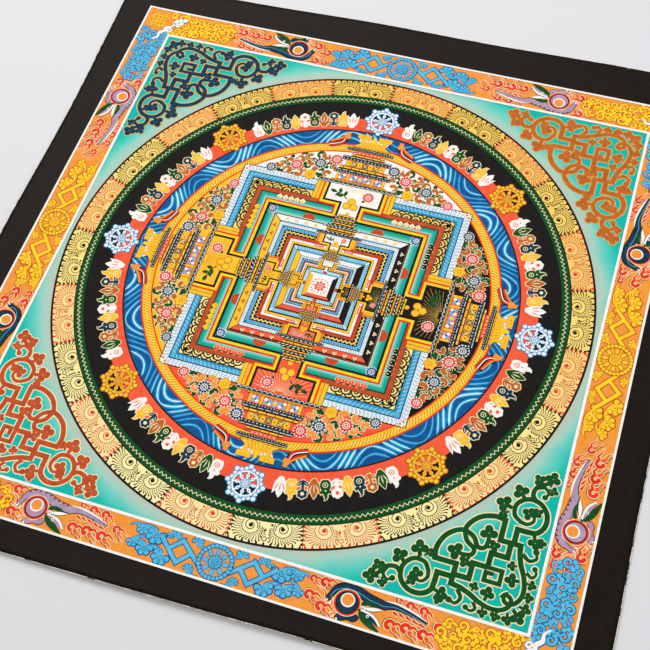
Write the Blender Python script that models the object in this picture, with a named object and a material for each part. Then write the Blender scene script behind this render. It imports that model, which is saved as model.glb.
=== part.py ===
# A thangka painting on one cut piece of primed cotton canvas, lying face up.
# Metres. +Z is up and +Y runs to the painting's top edge. The origin is under the middle of the
# canvas, at the height that it lies on.

import bpy
import numpy as np

# The canvas, with its paint and ground
thickness = 0.0011
cellsAcross = 30

# The cut corners, seen from above, about the painting's own centre
backLeft = (-0.2523, 0.2504)
backRight = (0.2488, 0.2606)
frontLeft = (-0.2490, -0.2479)
frontRight = (0.2500, -0.2432)

# How far each raw edge strays outward from the straight line between its corners:
# a bow over its whole length, an S over its length, and a ripple of five half waves
backStray = (0.0007, -0.0002, 0.0003)
frontStray = (-0.0002, 0.0017, 0.0002)
leftStray = (-0.0022, 0.0004, 0.0004)
rightStray = (-0.0008, 0.0002, 0.0003)

# The margin lifts off the surface towards each raw edge: the lift half way along the edge,
# how much it swells and sinks along it, and how many half waves that takes
liftReach = 0.046
backLift = (0.0009, 0.0006, 5)
frontLift = (0.0020, -0.0008, 2)
leftLift = (0.0011, 0.0007, 4)
rightLift = (0.0009, 0.0005, 3)

canvasColour = (0.021, 0.019, 0.018)
canvasRoughness = 0.82


# One raw edge: the straight line between two corners plus its stray, as an array of points.
def edgeCurve(start, end, stray, outward, along):
    bow, sway, ripple = stray
    line = np.outer(1 - along, start) + np.outer(along, end)
    offset = (
        bow * np.sin(np.pi * along)
        + sway * np.sin(2 * np.pi * along)
        + ripple * np.sin(5 * np.pi * along)
    )
    return line + np.outer(offset, outward)


# Points of the flat canvas at shares u across and v up, blended from its four raw edges.
def outlineGrid(u, v):
    front = edgeCurve(frontLeft, frontRight, frontStray, (0, -1), u)
    back = edgeCurve(backLeft, backRight, backStray, (0, 1), u)
    left = edgeCurve(frontLeft, backLeft, leftStray, (-1, 0), v)
    right = edgeCurve(frontRight, backRight, rightStray, (1, 0), v)
    across, up = np.meshgrid(u, v)
    a, b = across[:, :, None], up[:, :, None]
    between = (1 - b) * front[None] + b * back[None] + (1 - a) * left[:, None] + a * right[:, None]
    corners = (
        (1 - a) * (1 - b) * np.array(frontLeft)
        + a * (1 - b) * np.array(frontRight)
        + (1 - a) * b * np.array(backLeft)
        + a * b * np.array(backRight)
    )
    return between - corners


# The lift that one raw edge gives: its height along the edge times a square that fades inward.
def edgeLift(lift, along, inFromEdge):
    middle, swell, waves = lift
    height = middle + swell * np.cos(waves * np.pi * along)
    return height * np.clip(1 - inFromEdge / liftReach, 0, 1) ** 2


# Height of the canvas's underside at shares u across and v up: the lifts of its four edges.
def liftGrid(u, v):
    across, up = np.meshgrid(u, v)
    width = backRight[0] - backLeft[0]
    depth = backLeft[1] - frontLeft[1]
    return (
        edgeLift(frontLift, across, up * depth)
        + edgeLift(backLift, across, (1 - up) * depth)
        + edgeLift(leftLift, up, across * width)
        + edgeLift(rightLift, up, (1 - across) * width)
    )


# The underside as a grid of four-sided faces, looking up, its box centred on the origin.
def canvasMesh():
    share = np.linspace(0, 1, cellsAcross + 1)
    flat = outlineGrid(share, share)
    lowest = flat.reshape(-1, 2).min(0)
    highest = flat.reshape(-1, 2).max(0)
    flat = flat - (lowest + highest) / 2
    points = np.dstack([flat, liftGrid(share, share)]).reshape(-1, 3)
    row = cellsAcross + 1
    first = (np.arange(cellsAcross)[:, None] * row + np.arange(cellsAcross)[None]).ravel()
    faces = np.stack([first, first + 1, first + row + 1, first + row], 1)
    mesh = bpy.data.meshes.new("canvas")
    mesh.from_pydata(points.tolist(), [], faces.tolist())
    mesh.shade_smooth()
    return mesh


# Matt black-brown paint on the canvas's margin.
def canvasMaterial():
    material = bpy.data.materials.new("paintedCanvas")
    material.use_nodes = True
    shader = material.node_tree.nodes["Principled BSDF"]
    shader.inputs["Base Color"].default_value = (*canvasColour, 1)
    shader.inputs["Roughness"].default_value = canvasRoughness
    shader.inputs["Metallic"].default_value = 0
    material.diffuse_color = (*canvasColour, 1)
    return material


# The canvas: its underside, made solid upward by its thickness.
def makeCanvas():
    canvas = bpy.data.objects.new("canvas", canvasMesh())
    canvas.data.materials.append(canvasMaterial())
    bpy.context.scene.collection.objects.link(canvas)
    solid = canvas.modifiers.new("thickness", "SOLIDIFY")
    solid.thickness = thickness
    solid.offset = 1
    return canvas


for leftover in list(bpy.data.objects):
    bpy.data.objects.remove(leftover)
makeCanvas()
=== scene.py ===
# A mandala thangka painted on a cut piece of primed cotton canvas, lying face up
import bmesh
import bpy
import numpy as np
from mathutils import Matrix, Vector


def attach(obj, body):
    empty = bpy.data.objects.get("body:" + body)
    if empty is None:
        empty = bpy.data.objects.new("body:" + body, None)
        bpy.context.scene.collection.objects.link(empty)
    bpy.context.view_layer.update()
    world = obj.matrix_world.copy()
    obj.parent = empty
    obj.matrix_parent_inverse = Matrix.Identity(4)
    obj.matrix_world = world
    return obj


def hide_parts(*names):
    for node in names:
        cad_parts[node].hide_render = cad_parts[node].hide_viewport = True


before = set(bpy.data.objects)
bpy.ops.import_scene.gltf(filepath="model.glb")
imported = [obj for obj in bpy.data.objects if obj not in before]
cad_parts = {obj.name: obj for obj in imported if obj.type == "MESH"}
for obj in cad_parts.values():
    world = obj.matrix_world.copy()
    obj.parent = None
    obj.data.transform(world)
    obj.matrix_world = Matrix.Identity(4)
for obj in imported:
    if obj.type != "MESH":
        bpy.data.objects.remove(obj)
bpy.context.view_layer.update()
randomness = np.random.default_rng(7)
print("frame loaded")


# The cloth, in metres about the painting's centre: the cut corners, how far each raw edge strays
# outward (bow, S and ripple) and how it lifts (height half way, swell, half waves)
cloth = {
    "backLeft": (-0.2523, 0.2504), "backRight": (0.2488, 0.2606),
    "frontLeft": (-0.2490, -0.2479), "frontRight": (0.2500, -0.2432),
    "backStray": (0.0007, -0.0002, 0.0003), "frontStray": (-0.0002, 0.0017, 0.0002),
    "leftStray": (-0.0022, 0.0004, 0.0004), "rightStray": (-0.0008, 0.0002, 0.0003),
    "backLift": (0.0009, 0.0006, 5), "frontLift": (0.0020, -0.0008, 2),
    "leftLift": (0.0011, 0.0007, 4), "rightLift": (0.0009, 0.0005, 3),
    "liftReach": 0.046, "thickness": 0.0007, "cells": 150, "flat": (0.500, 0.501),
}


def straying(amounts, along):
    # How far a raw edge strays outward at shares along it: three sines of its length
    return sum(amount * np.sin(np.pi * waves * along) for amount, waves in zip(amounts, (1, 2, 5)))


def edgeCurve(start, end, stray, outward, along):
    # A raw edge: the straight line between two corners, pushed outward by its straying
    chord = np.outer(1 - along, start) + np.outer(along, end)
    return chord + np.outer(straying(stray, along), outward)


def clothPlan(u, v):
    # Flat points at shares u across and v up: the four raw edges blended, less the corners' own blend
    c = cloth
    front = edgeCurve(c["frontLeft"], c["frontRight"], c["frontStray"], (0, -1), u)
    back = edgeCurve(c["backLeft"], c["backRight"], c["backStray"], (0, 1), u)
    left = edgeCurve(c["frontLeft"], c["backLeft"], c["leftStray"], (-1, 0), v)
    right = edgeCurve(c["frontRight"], c["backRight"], c["rightStray"], (1, 0), v)
    across, up = np.meshgrid(u, v)
    a, b = across[..., None], up[..., None]
    corners = (
        (1 - a) * (1 - b) * np.array(c["frontLeft"]) + a * (1 - b) * np.array(c["frontRight"])
        + (1 - a) * b * np.array(c["backLeft"]) + a * b * np.array(c["backRight"])
    )
    return (1 - b) * front + b * back + (1 - a) * left[:, None] + a * right[:, None] - corners


def edgeLift(lift, along, inFromEdge):
    # A cosine swell along the edge, times the square of the share of the reach that is left
    middle, swell, waves = lift
    fade = np.clip(1 - inFromEdge / cloth["liftReach"], 0, 1) ** 2
    return (middle + swell * np.cos(waves * np.pi * along)) * fade


def clothLift(u, v):
    # Height of the underside at shares u and v: the sum of the four edges' lifts
    width = cloth["backRight"][0] - cloth["backLeft"][0]
    depth = cloth["backLeft"][1] - cloth["frontLeft"][1]
    return (
        edgeLift(cloth["frontLift"], u, v * depth) + edgeLift(cloth["backLift"], u, (1 - v) * depth)
        + edgeLift(cloth["leftLift"], v, u * width) + edgeLift(cloth["rightLift"], v, (1 - u) * width)
    )


def sharesAt(x, y):
    # Shares u and v of a point: how far it is between the raw edges, worked out anew five times
    c = cloth
    u, v = (x - c["backLeft"][0]) / 0.5, (y - c["frontLeft"][1]) / 0.5
    for _ in range(5):
        leftX = c["frontLeft"][0] * (1 - v) + c["backLeft"][0] * v
        rightX = c["frontRight"][0] * (1 - v) + c["backRight"][0] * v
        frontY = c["frontLeft"][1] * (1 - u) + c["frontRight"][1] * u
        backY = c["backLeft"][1] * (1 - u) + c["backRight"][1] * u
        strayX = u * straying(c["rightStray"], v) - (1 - u) * straying(c["leftStray"], v)
        strayY = v * straying(c["backStray"], u) - (1 - v) * straying(c["frontStray"], u)
        u, v = (x - strayX - leftX) / (rightX - leftX), (y - strayY - frontY) / (backY - frontY)
    return np.clip(u, 0, 1), np.clip(v, 0, 1)


shares = np.linspace(0, 1, cloth["cells"] + 1)
plan = clothPlan(shares, shares)
planPoints = plan.reshape(-1, 2)
# The frame's origin, seen from the painting's centre
boxMiddle = (planPoints.min(0) + planPoints.max(0)) / 2


# Colours and materials
def linear(hexColour):
    # sRGB to linear light: a straight line near black, and a 2.4 power above it
    value = np.array([int(hexColour[i:i + 2], 16) for i in (0, 2, 4)]) / 255
    bright = np.where(value <= 0.04045, value / 12.92, ((value + 0.055) / 1.055) ** 2.4)
    return (*bright.tolist(), 1.0)


def addNode(tree, kind, settings=None, inputs=None):
    # One node with its settings, colour stops among them, and with values or links on its inputs
    node = tree.nodes.new("ShaderNode" + kind)
    for name, value in (settings or {}).items():
        if name == "stops":
            ramp = node.color_ramp.elements
            while len(ramp) < len(value):
                ramp.new(0.5)
            for stop, (place, colour) in zip(ramp, value):
                stop.position = place
                stop.color = linear(colour)
        else:
            setattr(node, name, value)
    for name, value in (inputs or {}).items():
        if isinstance(value, bpy.types.NodeSocket):
            tree.links.new(value, node.inputs[name])
        else:
            node.inputs[name].default_value = value
    return node


# The canvas's weave shows through the paint. Its real threads are 0.5 mm apart, too fine for the
# picture, so they are drawn 1.1 mm apart. Brush marks change a colour over a few millimetres.
weave = {"pitch": 0.0011, "depth": 0.00004, "brush": 0.005, "grain": 0.0009}


def weaveBump(tree, place, strength):
    # Two sets of soft bands across each other, broken by a fine grain
    scale = 0.314 / weave["pitch"]  # a wave texture repeats every 0.314 of its scale
    softness = {"Vector": place, "Scale": scale, "Distortion": 1.2, "Detail": 1.0, "Detail Scale": 2.0}
    bands = [addNode(tree, "TexWave", {"bands_direction": way}, softness).outputs["Fac"] for way in "XY"]
    both = addNode(tree, "Math", {"operation": "ADD"}, {0: bands[0], 1: bands[1]})
    grain = addNode(tree, "TexNoise", None, {"Vector": place, "Scale": 1 / weave["grain"], "Detail": 3.0})
    height = addNode(tree, "Math", {"operation": "ADD"}, {0: both.outputs[0], 1: grain.outputs["Fac"]})
    relief = {"Strength": strength, "Distance": weave["depth"], "Height": height.outputs[0]}
    return addNode(tree, "Bump", None, relief).outputs["Normal"], grain.outputs["Fac"]


def paintMaterial(name, tint):
    # Hand-ground pigment in glue on primed cotton: matt, a little uneven from the brush, with the
    # weave just showing. tint has the colour, how uneven it is, and any second colour and its rule
    material = bpy.data.materials.new(name)
    material.use_nodes = True
    tree = material.node_tree
    shader = tree.nodes["Principled BSDF"]
    place = addNode(tree, "TexCoord").outputs["Object"]
    normal, grain = weaveBump(tree, place, tint.get("weave", 0.35))
    rule = tint.get("rule")
    if rule == "radius":  # colours by distance from the painting's centre, with a cloudy edge
        centred = addNode(tree, "Mapping", None, {"Vector": place, "Location": (*boxMiddle.tolist(), 0.0)})
        inPlan = {0: centred.outputs[0], 1: (1.0, 1.0, 0.0)}
        flat = addNode(tree, "VectorMath", {"operation": "MULTIPLY"}, inPlan)
        length = addNode(tree, "VectorMath", {"operation": "LENGTH"}, {0: flat.outputs[0]}).outputs["Value"]
        cloudy = addNode(tree, "TexNoise", None, {"Vector": place, "Scale": 45.0, "Detail": 4.0})
        few = {"Value": cloudy.outputs["Fac"], "To Min": -0.006, "To Max": 0.006}
        stray = addNode(tree, "MapRange", None, few)
        measure = addNode(tree, "Math", {"operation": "ADD"}, {0: length, 1: stray.outputs[0]}).outputs[0]
    # By depth, front to back: the golds' painted sheen, paler towards the painting's front edge
    elif rule == "depth":  # colours from the painting's top edge to its bottom edge
        measure = addNode(tree, "SeparateXYZ", None, {"Vector": place}).outputs["Y"]
    elif rule == "across":  # colours from one side of each band to the other
        measure = addNode(tree, "Attribute", {"attribute_name": "across"}).outputs["Fac"]
    if rule:
        reach = {"Value": measure, "From Min": tint.get("from", 0.0), "From Max": tint.get("to", 1.0)}
        share = addNode(tree, "MapRange", None, reach)
    else:
        brushed = {"Vector": place, "Scale": 1 / weave["brush"], "Detail": 3.0}
        share = addNode(tree, "TexNoise", None, brushed)
    ramp = addNode(tree, "ValToRGB", {"stops": tint["stops"]}, {"Fac": share.outputs[0]})
    uneven = tint.get("uneven", 0.08)
    span = {"Value": grain, "From Min": 0.25, "From Max": 0.75, "To Min": 1 - uneven, "To Max": 1 + uneven}
    shade = addNode(tree, "MapRange", None, span).outputs[0]
    mixed = {0: ramp.outputs["Color"], "Scale": shade}
    colour = addNode(tree, "VectorMath", {"operation": "SCALE"}, mixed)
    tree.links.new(colour.outputs[0], shader.inputs["Base Color"])
    tree.links.new(normal, shader.inputs["Normal"])
    shader.inputs["Roughness"].default_value = tint.get("roughness", 0.75)
    shader.inputs["IOR"].default_value = 1.5
    shader.inputs["Specular IOR Level"].default_value = tint.get("specular", 0.14)
    return material


def shades(dark, light):
    # Two stops that the brush noise moves between
    return [(0.3, dark), (0.7, light)]


# Every pigment on the canvas. A stop is a place from 0 to 1 and a colour
pigments = {
    "chalkWhite": {"stops": shades("EEE9E0", "FBF9F4")},
    "cream": {"stops": shades("EBDDA6", "F6EAC0")},
    "lampBlack": {"stops": shades("0F0C0A", "191513"), "uneven": 0.12},
    "vermilion": {"stops": shades("DA2A12", "EC3C1E")},
    "coral": {"stops": shades("EE5230", "F6603C")},
    "rust": {"stops": shades("B04220", "C6562A")},
    "orange": {"stops": shades("EC8F30", "F29A42")},
    "amber": {"stops": shades("F4B81E", "F9C334")},
    "lemon": {"stops": shades("F9C610", "FED42E")},
    "ochre": {"stops": shades("C89A3E", "DDB55A"), "roughness": 0.5},
    "indigo": {"stops": shades("0A2C40", "123C55")},
    "deepBlue": {"stops": shades("034884", "055A9A")},
    "azure": {"stops": shades("0482BA", "0892C8")},
    "sky": {"stops": shades("4CB0D4", "60BEDF")},
    "ice": {"stops": shades("C6E6F0", "DCF1F7")},
    "bottleGreen": {"stops": shades("064418", "0A5420")},
    "mauve": {"stops": shades("A98199", "BE97AF")},
    "sienna": {"stops": shades("B0581C", "C66C2C")},
    "rose": {"stops": shades("EC9188", "F4AAA0")},
    # The two golds are painted paler towards the painting's front edge: a painted sheen, light reflected
    # off the gold put into its colour
    "leafGold": {
        "rule": "depth", "from": -0.2, "to": 0.2, "roughness": 0.45,
        "stops": [(0, "FCEEAE"), (0.45, "F9DC78"), (1, "F2C24C")],
    },
    "peachGold": {
        "rule": "depth", "from": -0.2, "to": 0.2, "roughness": 0.45,
        "stops": [(0, "FCE4A6"), (0.45, "FACE7A"), (1, "F4B854")],
    },
    "tealField": {
        "rule": "radius", "from": 0.196, "to": 0.224,
        "stops": [(0, "B8C2B2"), (0.2, "A0CCBC"), (0.45, "5CCABC"), (0.7, "14BCAC"), (1, "00B4A8")],
    },
    "tealFade": {
        "rule": "across",
        "stops": [(0, "D2EAD8"), (0.2, "84CDBD"), (0.48, "1EB09E"), (1, "088C78")],
    },
}


# Shapes, in millimetres. A patch is a grid of points, as an array of (..., along, across, x y height).
paintStep = 0.04  # each layer of paint lies this far above the one below
strokeSwell = 0.03  # a stroke's middle stands this far above its edges


def spots(x, y, turn=0, size=1):
    # Places for copies: x, y, a turn in degrees and a size, which is negative for a mirrored copy
    return np.stack(np.broadcast_arrays(np.asarray(x, float), y, turn, size), -1).reshape(-1, 4)


def around(count, radius, start=0, turn=0, size=1):
    # Places evenly round a circle, anticlockwise from the top, each with its +Y outward
    angle = start + np.arange(count) * 360 / count
    a = np.radians(angle)
    return spots(-radius * np.sin(a), radius * np.cos(a), angle + turn, size)


def raised(points):
    # Points with a height beside their x and y: nought where they had none
    points = np.asarray(points, float)
    if points.shape[-1] == 2:
        points = np.concatenate([points, np.zeros(points.shape[:-1] + (1,))], -1)
    return points


def put(points, places):
    # Copies of points: scaled, turned, then moved to each place
    points = raised(points)
    rows = np.atleast_2d(np.asarray(places, float)).T
    x, y, turn, size = rows.reshape(4, -1, *([1] * (points.ndim - 1)))
    c, s = np.cos(np.radians(turn)), np.sin(np.radians(turn))
    px, py = size * points[..., 0], abs(size) * points[..., 1]
    return np.stack([x + c * px - s * py, y + s * px + c * py, points[..., 2] + 0 * x], -1)


paint = {}


def lay(pigment, layer, patches, *places):
    # Puts patches, or their copies at places within places, on a layer of the canvas
    for group in places:
        patches = put(patches, group)
    patches = raised(patches)
    patches = patches.reshape(-1, *patches.shape[-3:]).copy()
    patches[..., 2] += layer * paintStep
    paint.setdefault(pigment, []).append(patches)


def stroke(path, width):
    # A brush stroke: its path pushed half the width to both sides along each corner's mitre, with
    # its middle raised. A path that ends where it starts is closed
    path = np.asarray(path, float)
    step = np.diff(path, axis=-2)
    step = step / (np.linalg.norm(step, axis=-1, keepdims=True) + 1e-9)
    normal = np.stack([step[..., 1], -step[..., 0]], -1)
    closed = np.allclose(path[..., 0, :], path[..., -1, :], atol=1e-6)
    first = normal[..., -1:, :] if closed else normal[..., :1, :]
    last = normal[..., :1, :] if closed else normal[..., -1:, :]
    before = np.concatenate([first, normal], -2)
    after = np.concatenate([normal, last], -2)
    meet = np.clip(1 + (before * after).sum(-1, keepdims=True), 0.35, None)
    side = (before + after) / meet
    half = np.broadcast_to(width, path.shape[:-1])[..., None] / 2
    edges = np.stack([path - side * half, path, path + side * half], -2)
    height = np.zeros(edges.shape[:-1])
    height[..., 1] = strokeSwell * np.clip(half[..., 0], 0.2, 1)
    return np.concatenate([edges, height[..., None]], -1)


def taper(kind, n):
    # A stroke's width along it, from 0 to 1
    s = np.linspace(0, 1, n)
    shapes = {
        "even": np.clip(5 * np.sqrt(s * (1 - s)), 0.05, 1),
        "petal": np.sin(np.pi * s) ** 0.7,
        "drop": np.sin(np.pi * s**0.55),
        "tail": np.clip(s * 14, 0.1, 1) * (1 - s) ** 0.75,
        "comma": np.sqrt(np.clip(s * 9, 0, 1)) * (1 - 0.75 * s),
    }
    return np.clip(shapes[kind], 0.04, None)


def arc(radius, start, end, n=16, x=0, y=0):
    # Points on a circle's arc, anticlockwise in degrees from +X
    a = np.radians(np.linspace(start, end, n))
    return np.stack([x + radius * np.cos(a), y + radius * np.sin(a)], -1)


def spiral(outer, inner, turns, start=0, n=30, x=0, y=0):
    # A curl whose radius shrinks evenly as it turns
    s = np.linspace(0, 1, n)
    a = np.radians(start) + 2 * np.pi * turns * s
    r = outer + (inner - outer) * s
    return np.stack([x + r * np.cos(a), y + r * np.sin(a)], -1)


def line(*points, n=2):
    # A polyline, with n points on each straight stretch
    points = np.array(points, float)
    s = np.linspace(0, 1, n)[:-1, None]
    runs = [a + (b - a) * s for a, b in zip(points[:-1], points[1:])]
    return np.concatenate([*runs, points[-1:]])


def curve(*points, n=8):
    # A smooth curve through points, each stretch a cubic with the neighbours' slope
    p = np.array(points, float)
    p = np.concatenate([2 * p[:1] - p[1:2], p, 2 * p[-1:] - p[-2:-1]])
    s = np.linspace(0, 1, n, endpoint=False)[:, None]
    runs = [
        b + s * (c - a) / 2 + s**2 * (2 * a - 5 * b + 4 * c - d) / 2 + s**3 * (3 * b - a - 3 * c + d) / 2
        for a, b, c, d in zip(p[:-3], p[1:-2], p[2:-1], p[3:])
    ]
    return np.concatenate([*runs, p[-2:-1]])


def dab(radius, n=7, tall=1.0):
    # A round dab: its length runs as the cosine while its width runs as the sine
    a = np.linspace(0, np.pi, n)
    path = np.stack([0 * a, -radius * tall * np.cos(a)], -1)
    return stroke(path, np.clip(2 * radius * np.sin(a), 0.06 * radius, None))


def petal(length, width, kind="petal", n=7, start=0.0):
    # A pointed dab along +Y
    return stroke(line((0, start), (0, start + length), n=n), width * taper(kind, n))


def between(one, other):
    # A flat patch between two curves of equally many points
    return np.stack([one, other], -2)


def ring(inner, outer, n=241):
    # A flat ring between two circles
    return between(arc(inner, 90, 450, n), arc(outer, 90, 450, n))


def band(inner, outer, n=2):
    # The top one of four mitred strips between two squares, given as half sizes
    return between(line((-inner, inner), (inner, inner), n=n), line((-outer, outer), (outer, outer), n=n))


def bar(x0, x1, y0, y1, n=2):
    # A flat rectangle
    return between(line((x0, y0), (x1, y0), n=n), line((x0, y1), (x1, y1), n=n))


def halfDisc(radius, n):
    # A flat half circle above the x axis
    return between(arc(radius, 0, 180, n), arc(0.05, 0, 180, n))


def bent(points, radius):
    # Wraps a flat strip on to a ring: x becomes the length along the ring, y the height above radius
    points = np.asarray(points, float)
    a = points[..., 0] / radius
    r = radius + points[..., 1]
    turned = np.stack([r * np.sin(a), r * np.cos(a)], -1)
    return np.concatenate([turned, points[..., 2:]], -1)


centre = spots(0, 0)
fourSides = spots(0, 0, (0, 90, 180, 270))
halves = spots(0, 0, 0, (1, -1))


def inked(pigment, edge, layer, path, width, rim, *places):
    # A stroke with an outline: the same path wider and one layer lower
    lay(edge, layer, stroke(path, np.asarray(width) + 2 * rim), *places)
    lay(pigment, layer + 1, stroke(path, width), *places)


def inkedDab(pigment, edge, layer, radius, rim, *places):
    # A round dab with an outline
    lay(edge, layer, dab(radius + rim), *places)
    lay(pigment, layer + 1, dab(radius), *places)


def straight(pigment, layer, start, end, width, *places):
    # A straight brush stroke
    lay(pigment, layer, stroke(line(start, end), width), *places)


def hoop(pigment, layer, radius, width, n, *places):
    # A brush stroke round a circle
    lay(pigment, layer, stroke(arc(radius, 0, 360, n), width), *places)


def fitted(kind, path, least=0.0):
    # A stroke's widths along a path, none below the least
    return np.clip(taper(kind, len(path)), least, 1)


# Grounds: the white frames, the border, the field and the rings, by half size or radius
layout = {
    "outerFrame": (225.8, 227.4), "innerFrame": (199.0, 201.0), "border": (200.0, 226.5),
    "circle": 196.0, "goldRing": (179.1, 195.6), "greenRing": (172.2, 179.3), "blackRing": (157.2, 172.4),
    "coralRing": (142.0, 157.4), "waterRing": (129.6, 143.6), "ropeRing": (122.8, 130.0),
}
innerPlace = spots(-0.3, 1.0)  # the water, the rope and the garden lie this far off the other rings' centre
palaceSides = spots(-0.2, 0.9, (0, 90, 180, 270), 0.994)
palaceHalves = np.stack([palaceSides, palaceSides * (1, 1, 1, -1)], 1)  # each side drawn and mirrored


def paintGrounds():
    # The border's strips, the frames, the field, and the rings with the lines between them
    inner, outer = layout["border"]
    edges = [line((-half, half), (half, half), n=91)[:, None] for half in (inner, outer)]
    s = np.linspace(0, 1, 8)[None, :, None]
    lay("orange", 1, edges[0] * (1 - s) + edges[1] * s, fourSides)
    for name in ("outerFrame", "innerFrame"):
        lay("chalkWhite", 8, band(*layout[name], 91), fourSides)
    edge = layout["outerFrame"][1]
    lay("lampBlack", 3, band(edge, edge + 0.5, 91), fourSides)
    # The field runs from the circle out to the square: the circle's points are pushed out along
    # their rays until their larger coordinate is the square's half size
    a = np.radians(np.linspace(0, 360, 481))
    ray = np.stack([np.cos(a), np.sin(a)], -1)
    reach = inner / np.abs(ray).max(-1, keepdims=True)
    s = np.linspace(0, 1, 9)[None, :, None]
    circle = layout["circle"] - 1
    lay("tealField", 1, ray[:, None] * (circle + (reach[:, None] - circle) * s))
    for name, pigment, layer, place in (
        ("greenRing", "bottleGreen", 5, centre), ("blackRing", "lampBlack", 1, centre),
        ("coralRing", "coral", 1, centre), ("waterRing", "deepBlue", 2, innerPlace),
        ("ropeRing", "amber", 3, innerPlace),
    ):
        lay(pigment, layer, ring(*layout[name]), place)
    for radius, width, pigment, layer, place in (
        (196, 1.1, "lampBlack", 4, centre), (179.3, 0.7, "lampBlack", 6, centre),
        (172.3, 0.5, "lampBlack", 6, centre), (143.6, 1.0, "lampBlack", 4, innerPlace),
        (130.0, 1.1, "vermilion", 5, innerPlace), (122.8, 1.0, "vermilion", 4, innerPlace),
    ):
        hoop(pigment, layer, radius, width, 361, place)


# The gold ring: 24 panels, inked black on gold and red on peach gold by turns. Each has two coiled
# eyes with waving rays, a little curl between them, and teardrops along its outer edge and its ends
goldPanel = {
    "count": 24, "half": 23.9, "high": 16.4, "eyeX": 10.4, "eyeY": 4.3, "coil": (4.7, 1.6, 1.3),
    "halo": 5.8, "rays": 19, "rayFrom": 6.5, "rayTo": 12.5, "line": 0.54, "dot": 1.5, "drops": 11,
    "endDrops": (1.0, 4.0, 7.0, 10.0, 13.0),
}


def paintGoldRing():
    # A panel is drawn flat, its x along the ring and its y above the ring's inner edge, then bent
    g = goldPanel
    inner, outer = layout["goldRing"]
    pitch = 360 / g["count"]
    s = np.linspace(0, 1, 7)[None]
    # A ray ends at the panel's outer edge or at its end, whichever is nearer, and hooks over
    a = np.radians(np.linspace(-16, 176, g["rays"]))
    rooms = (
        (g["high"] - 1.6 - g["eyeY"], np.sin(a)), (g["half"] - g["eyeX"] - 1.6, np.cos(a)),
        (g["eyeX"] - 1.6, -np.cos(a)), (g["rayTo"], np.ones(len(a))),
    )
    reach = np.min([room / np.clip(share, 0.05, None) for room, share in rooms], 0)
    keep = reach > g["rayFrom"] + 0.8
    a, reach = a[keep][:, None], reach[keep][:, None]
    r = g["rayFrom"] + (reach - g["rayFrom"]) * s
    sway = a + 0.075 * np.sin(1.8 * np.pi * s) - 0.1 * np.clip(s - 0.7, 0, None)
    rays = np.stack([r * np.cos(sway), r * np.sin(sway)], -1)
    for turn, (ground, ink, dropInk) in enumerate((
        ("leafGold", "lampBlack", "lampBlack"), ("peachGold", "sienna", "vermilion"),
    )):
        places = spots(0, 0, (np.arange(g["count"] // 2) * 2 + turn) * pitch + pitch / 2)
        arcs = [arc(radius, 90 - pitch / 2, 90 + pitch / 2, 13) for radius in (inner, outer)]
        lay(ground, 1, between(*arcs), places)

        def onPanel(pigment, points, width, where, layer=2):
            # Moves a flat path to its places on the panel, then bends and strokes it
            flat = put(points, where)[..., :2]
            lay(pigment, layer, stroke(bent(flat, inner)[..., :2], width), places)

        for side in (1, -1):
            eye = spots(side * g["eyeX"], g["eyeY"], 0, side)
            outerR, innerR, turns = g["coil"]
            onPanel(ink, spiral(outerR, innerR, turns, 160, 40), g["line"], eye)
            onPanel(ink, arc(g["halo"], -30, 210, 26), g["line"], eye)
            onPanel(dropInk, line((0, -g["dot"]), (0, g["dot"]), n=7),
                    2 * g["dot"] * np.sin(np.linspace(0.1, np.pi - 0.1, 7)), eye, layer=3)
            onPanel(ink, rays, g["line"] * (0.7 + 1.1 * s**3), eye)
        onPanel(ink, spiral(2.2, 0.6, 1.2, -60, 18), g["line"], spots(0, 11.6))
        onPanel(ink, curve((-0.8, 9.6), (0.6, 7.4), (-0.4, 4.6), n=4), g["line"], spots(0.6, 0))
        x = np.linspace(2.4 - g["half"], g["half"] - 2.4, g["drops"])
        for length, width, where, layer in (
            (2.0, 1.7, spots((-3.2, 0.6), (1.4, 5.4)), 2),
            (-2.4, 1.55, spots(x, g["high"] - 0.2, np.linspace(-24, 24, g["drops"])), 3),
            (2.4, 1.6, spots(g["half"] - 0.3, g["endDrops"], 62), 3),
            (2.4, 1.6, spots(0.3 - g["half"], g["endDrops"], -62), 3),
        ):
            onPanel(dropInk, line((0, 0), (0, length), n=6), width * taper("drop", 6), where, layer)
        straight("lampBlack", 2, (0, inner), (0, outer), 0.45, places, spots(0, 0, pitch / 2))


# The green ring's zigzag, and the rope: slanting strands round its ring, edged in sienna and lit in cream
edging = {"zigzag": 312, "zigzagRadius": 175.9, "zigzagHigh": 1.05, "line": 0.46, "strands": 330}


def paintEdgings():
    # The zigzag is a circle whose radius takes a sine's values at its crests and crossings
    e = edging
    n = e["zigzag"] * 4
    turn = np.arange(n + 1)
    a = np.radians(turn * 360 / n)
    r = e["zigzagRadius"] + e["zigzagHigh"] * np.sin(turn * np.pi / 2)
    lay("cream", 6, stroke(np.stack([r * np.cos(a), r * np.sin(a)], -1), e["line"]))
    inner, outer = layout["ropeRing"]
    s = np.linspace(-1, 1, 7)
    twist = np.stack([1.5 * np.sin(s * np.pi / 2) + 0.5 * s**2, (outer - inner - 1.2) / 2 * s], -1)
    for pigment, layer, tall, width, kind, start in (
        ("sienna", 4, 1, 0.32, "even", 0), ("lemon", 4, 0.85, 1.15, "petal", 0.5),
        ("cream", 5, 0.5, 0.22, "petal", 0.45),
    ):
        strands = around(e["strands"], (inner + outer) / 2, start=start * 360 / e["strands"])
        lay(pigment, layer, stroke(twist * (1, tall), width * taper(kind, 7)), strands, innerPlace)


# The water: sine waves far taller than the ring, one beside the other, of which the ring shows only
# what crosses it, so that they nest about points on its two edges by turns
water = {"waves": 13, "tall": 14.0, "step": 5.7, "lines": 6}


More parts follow.
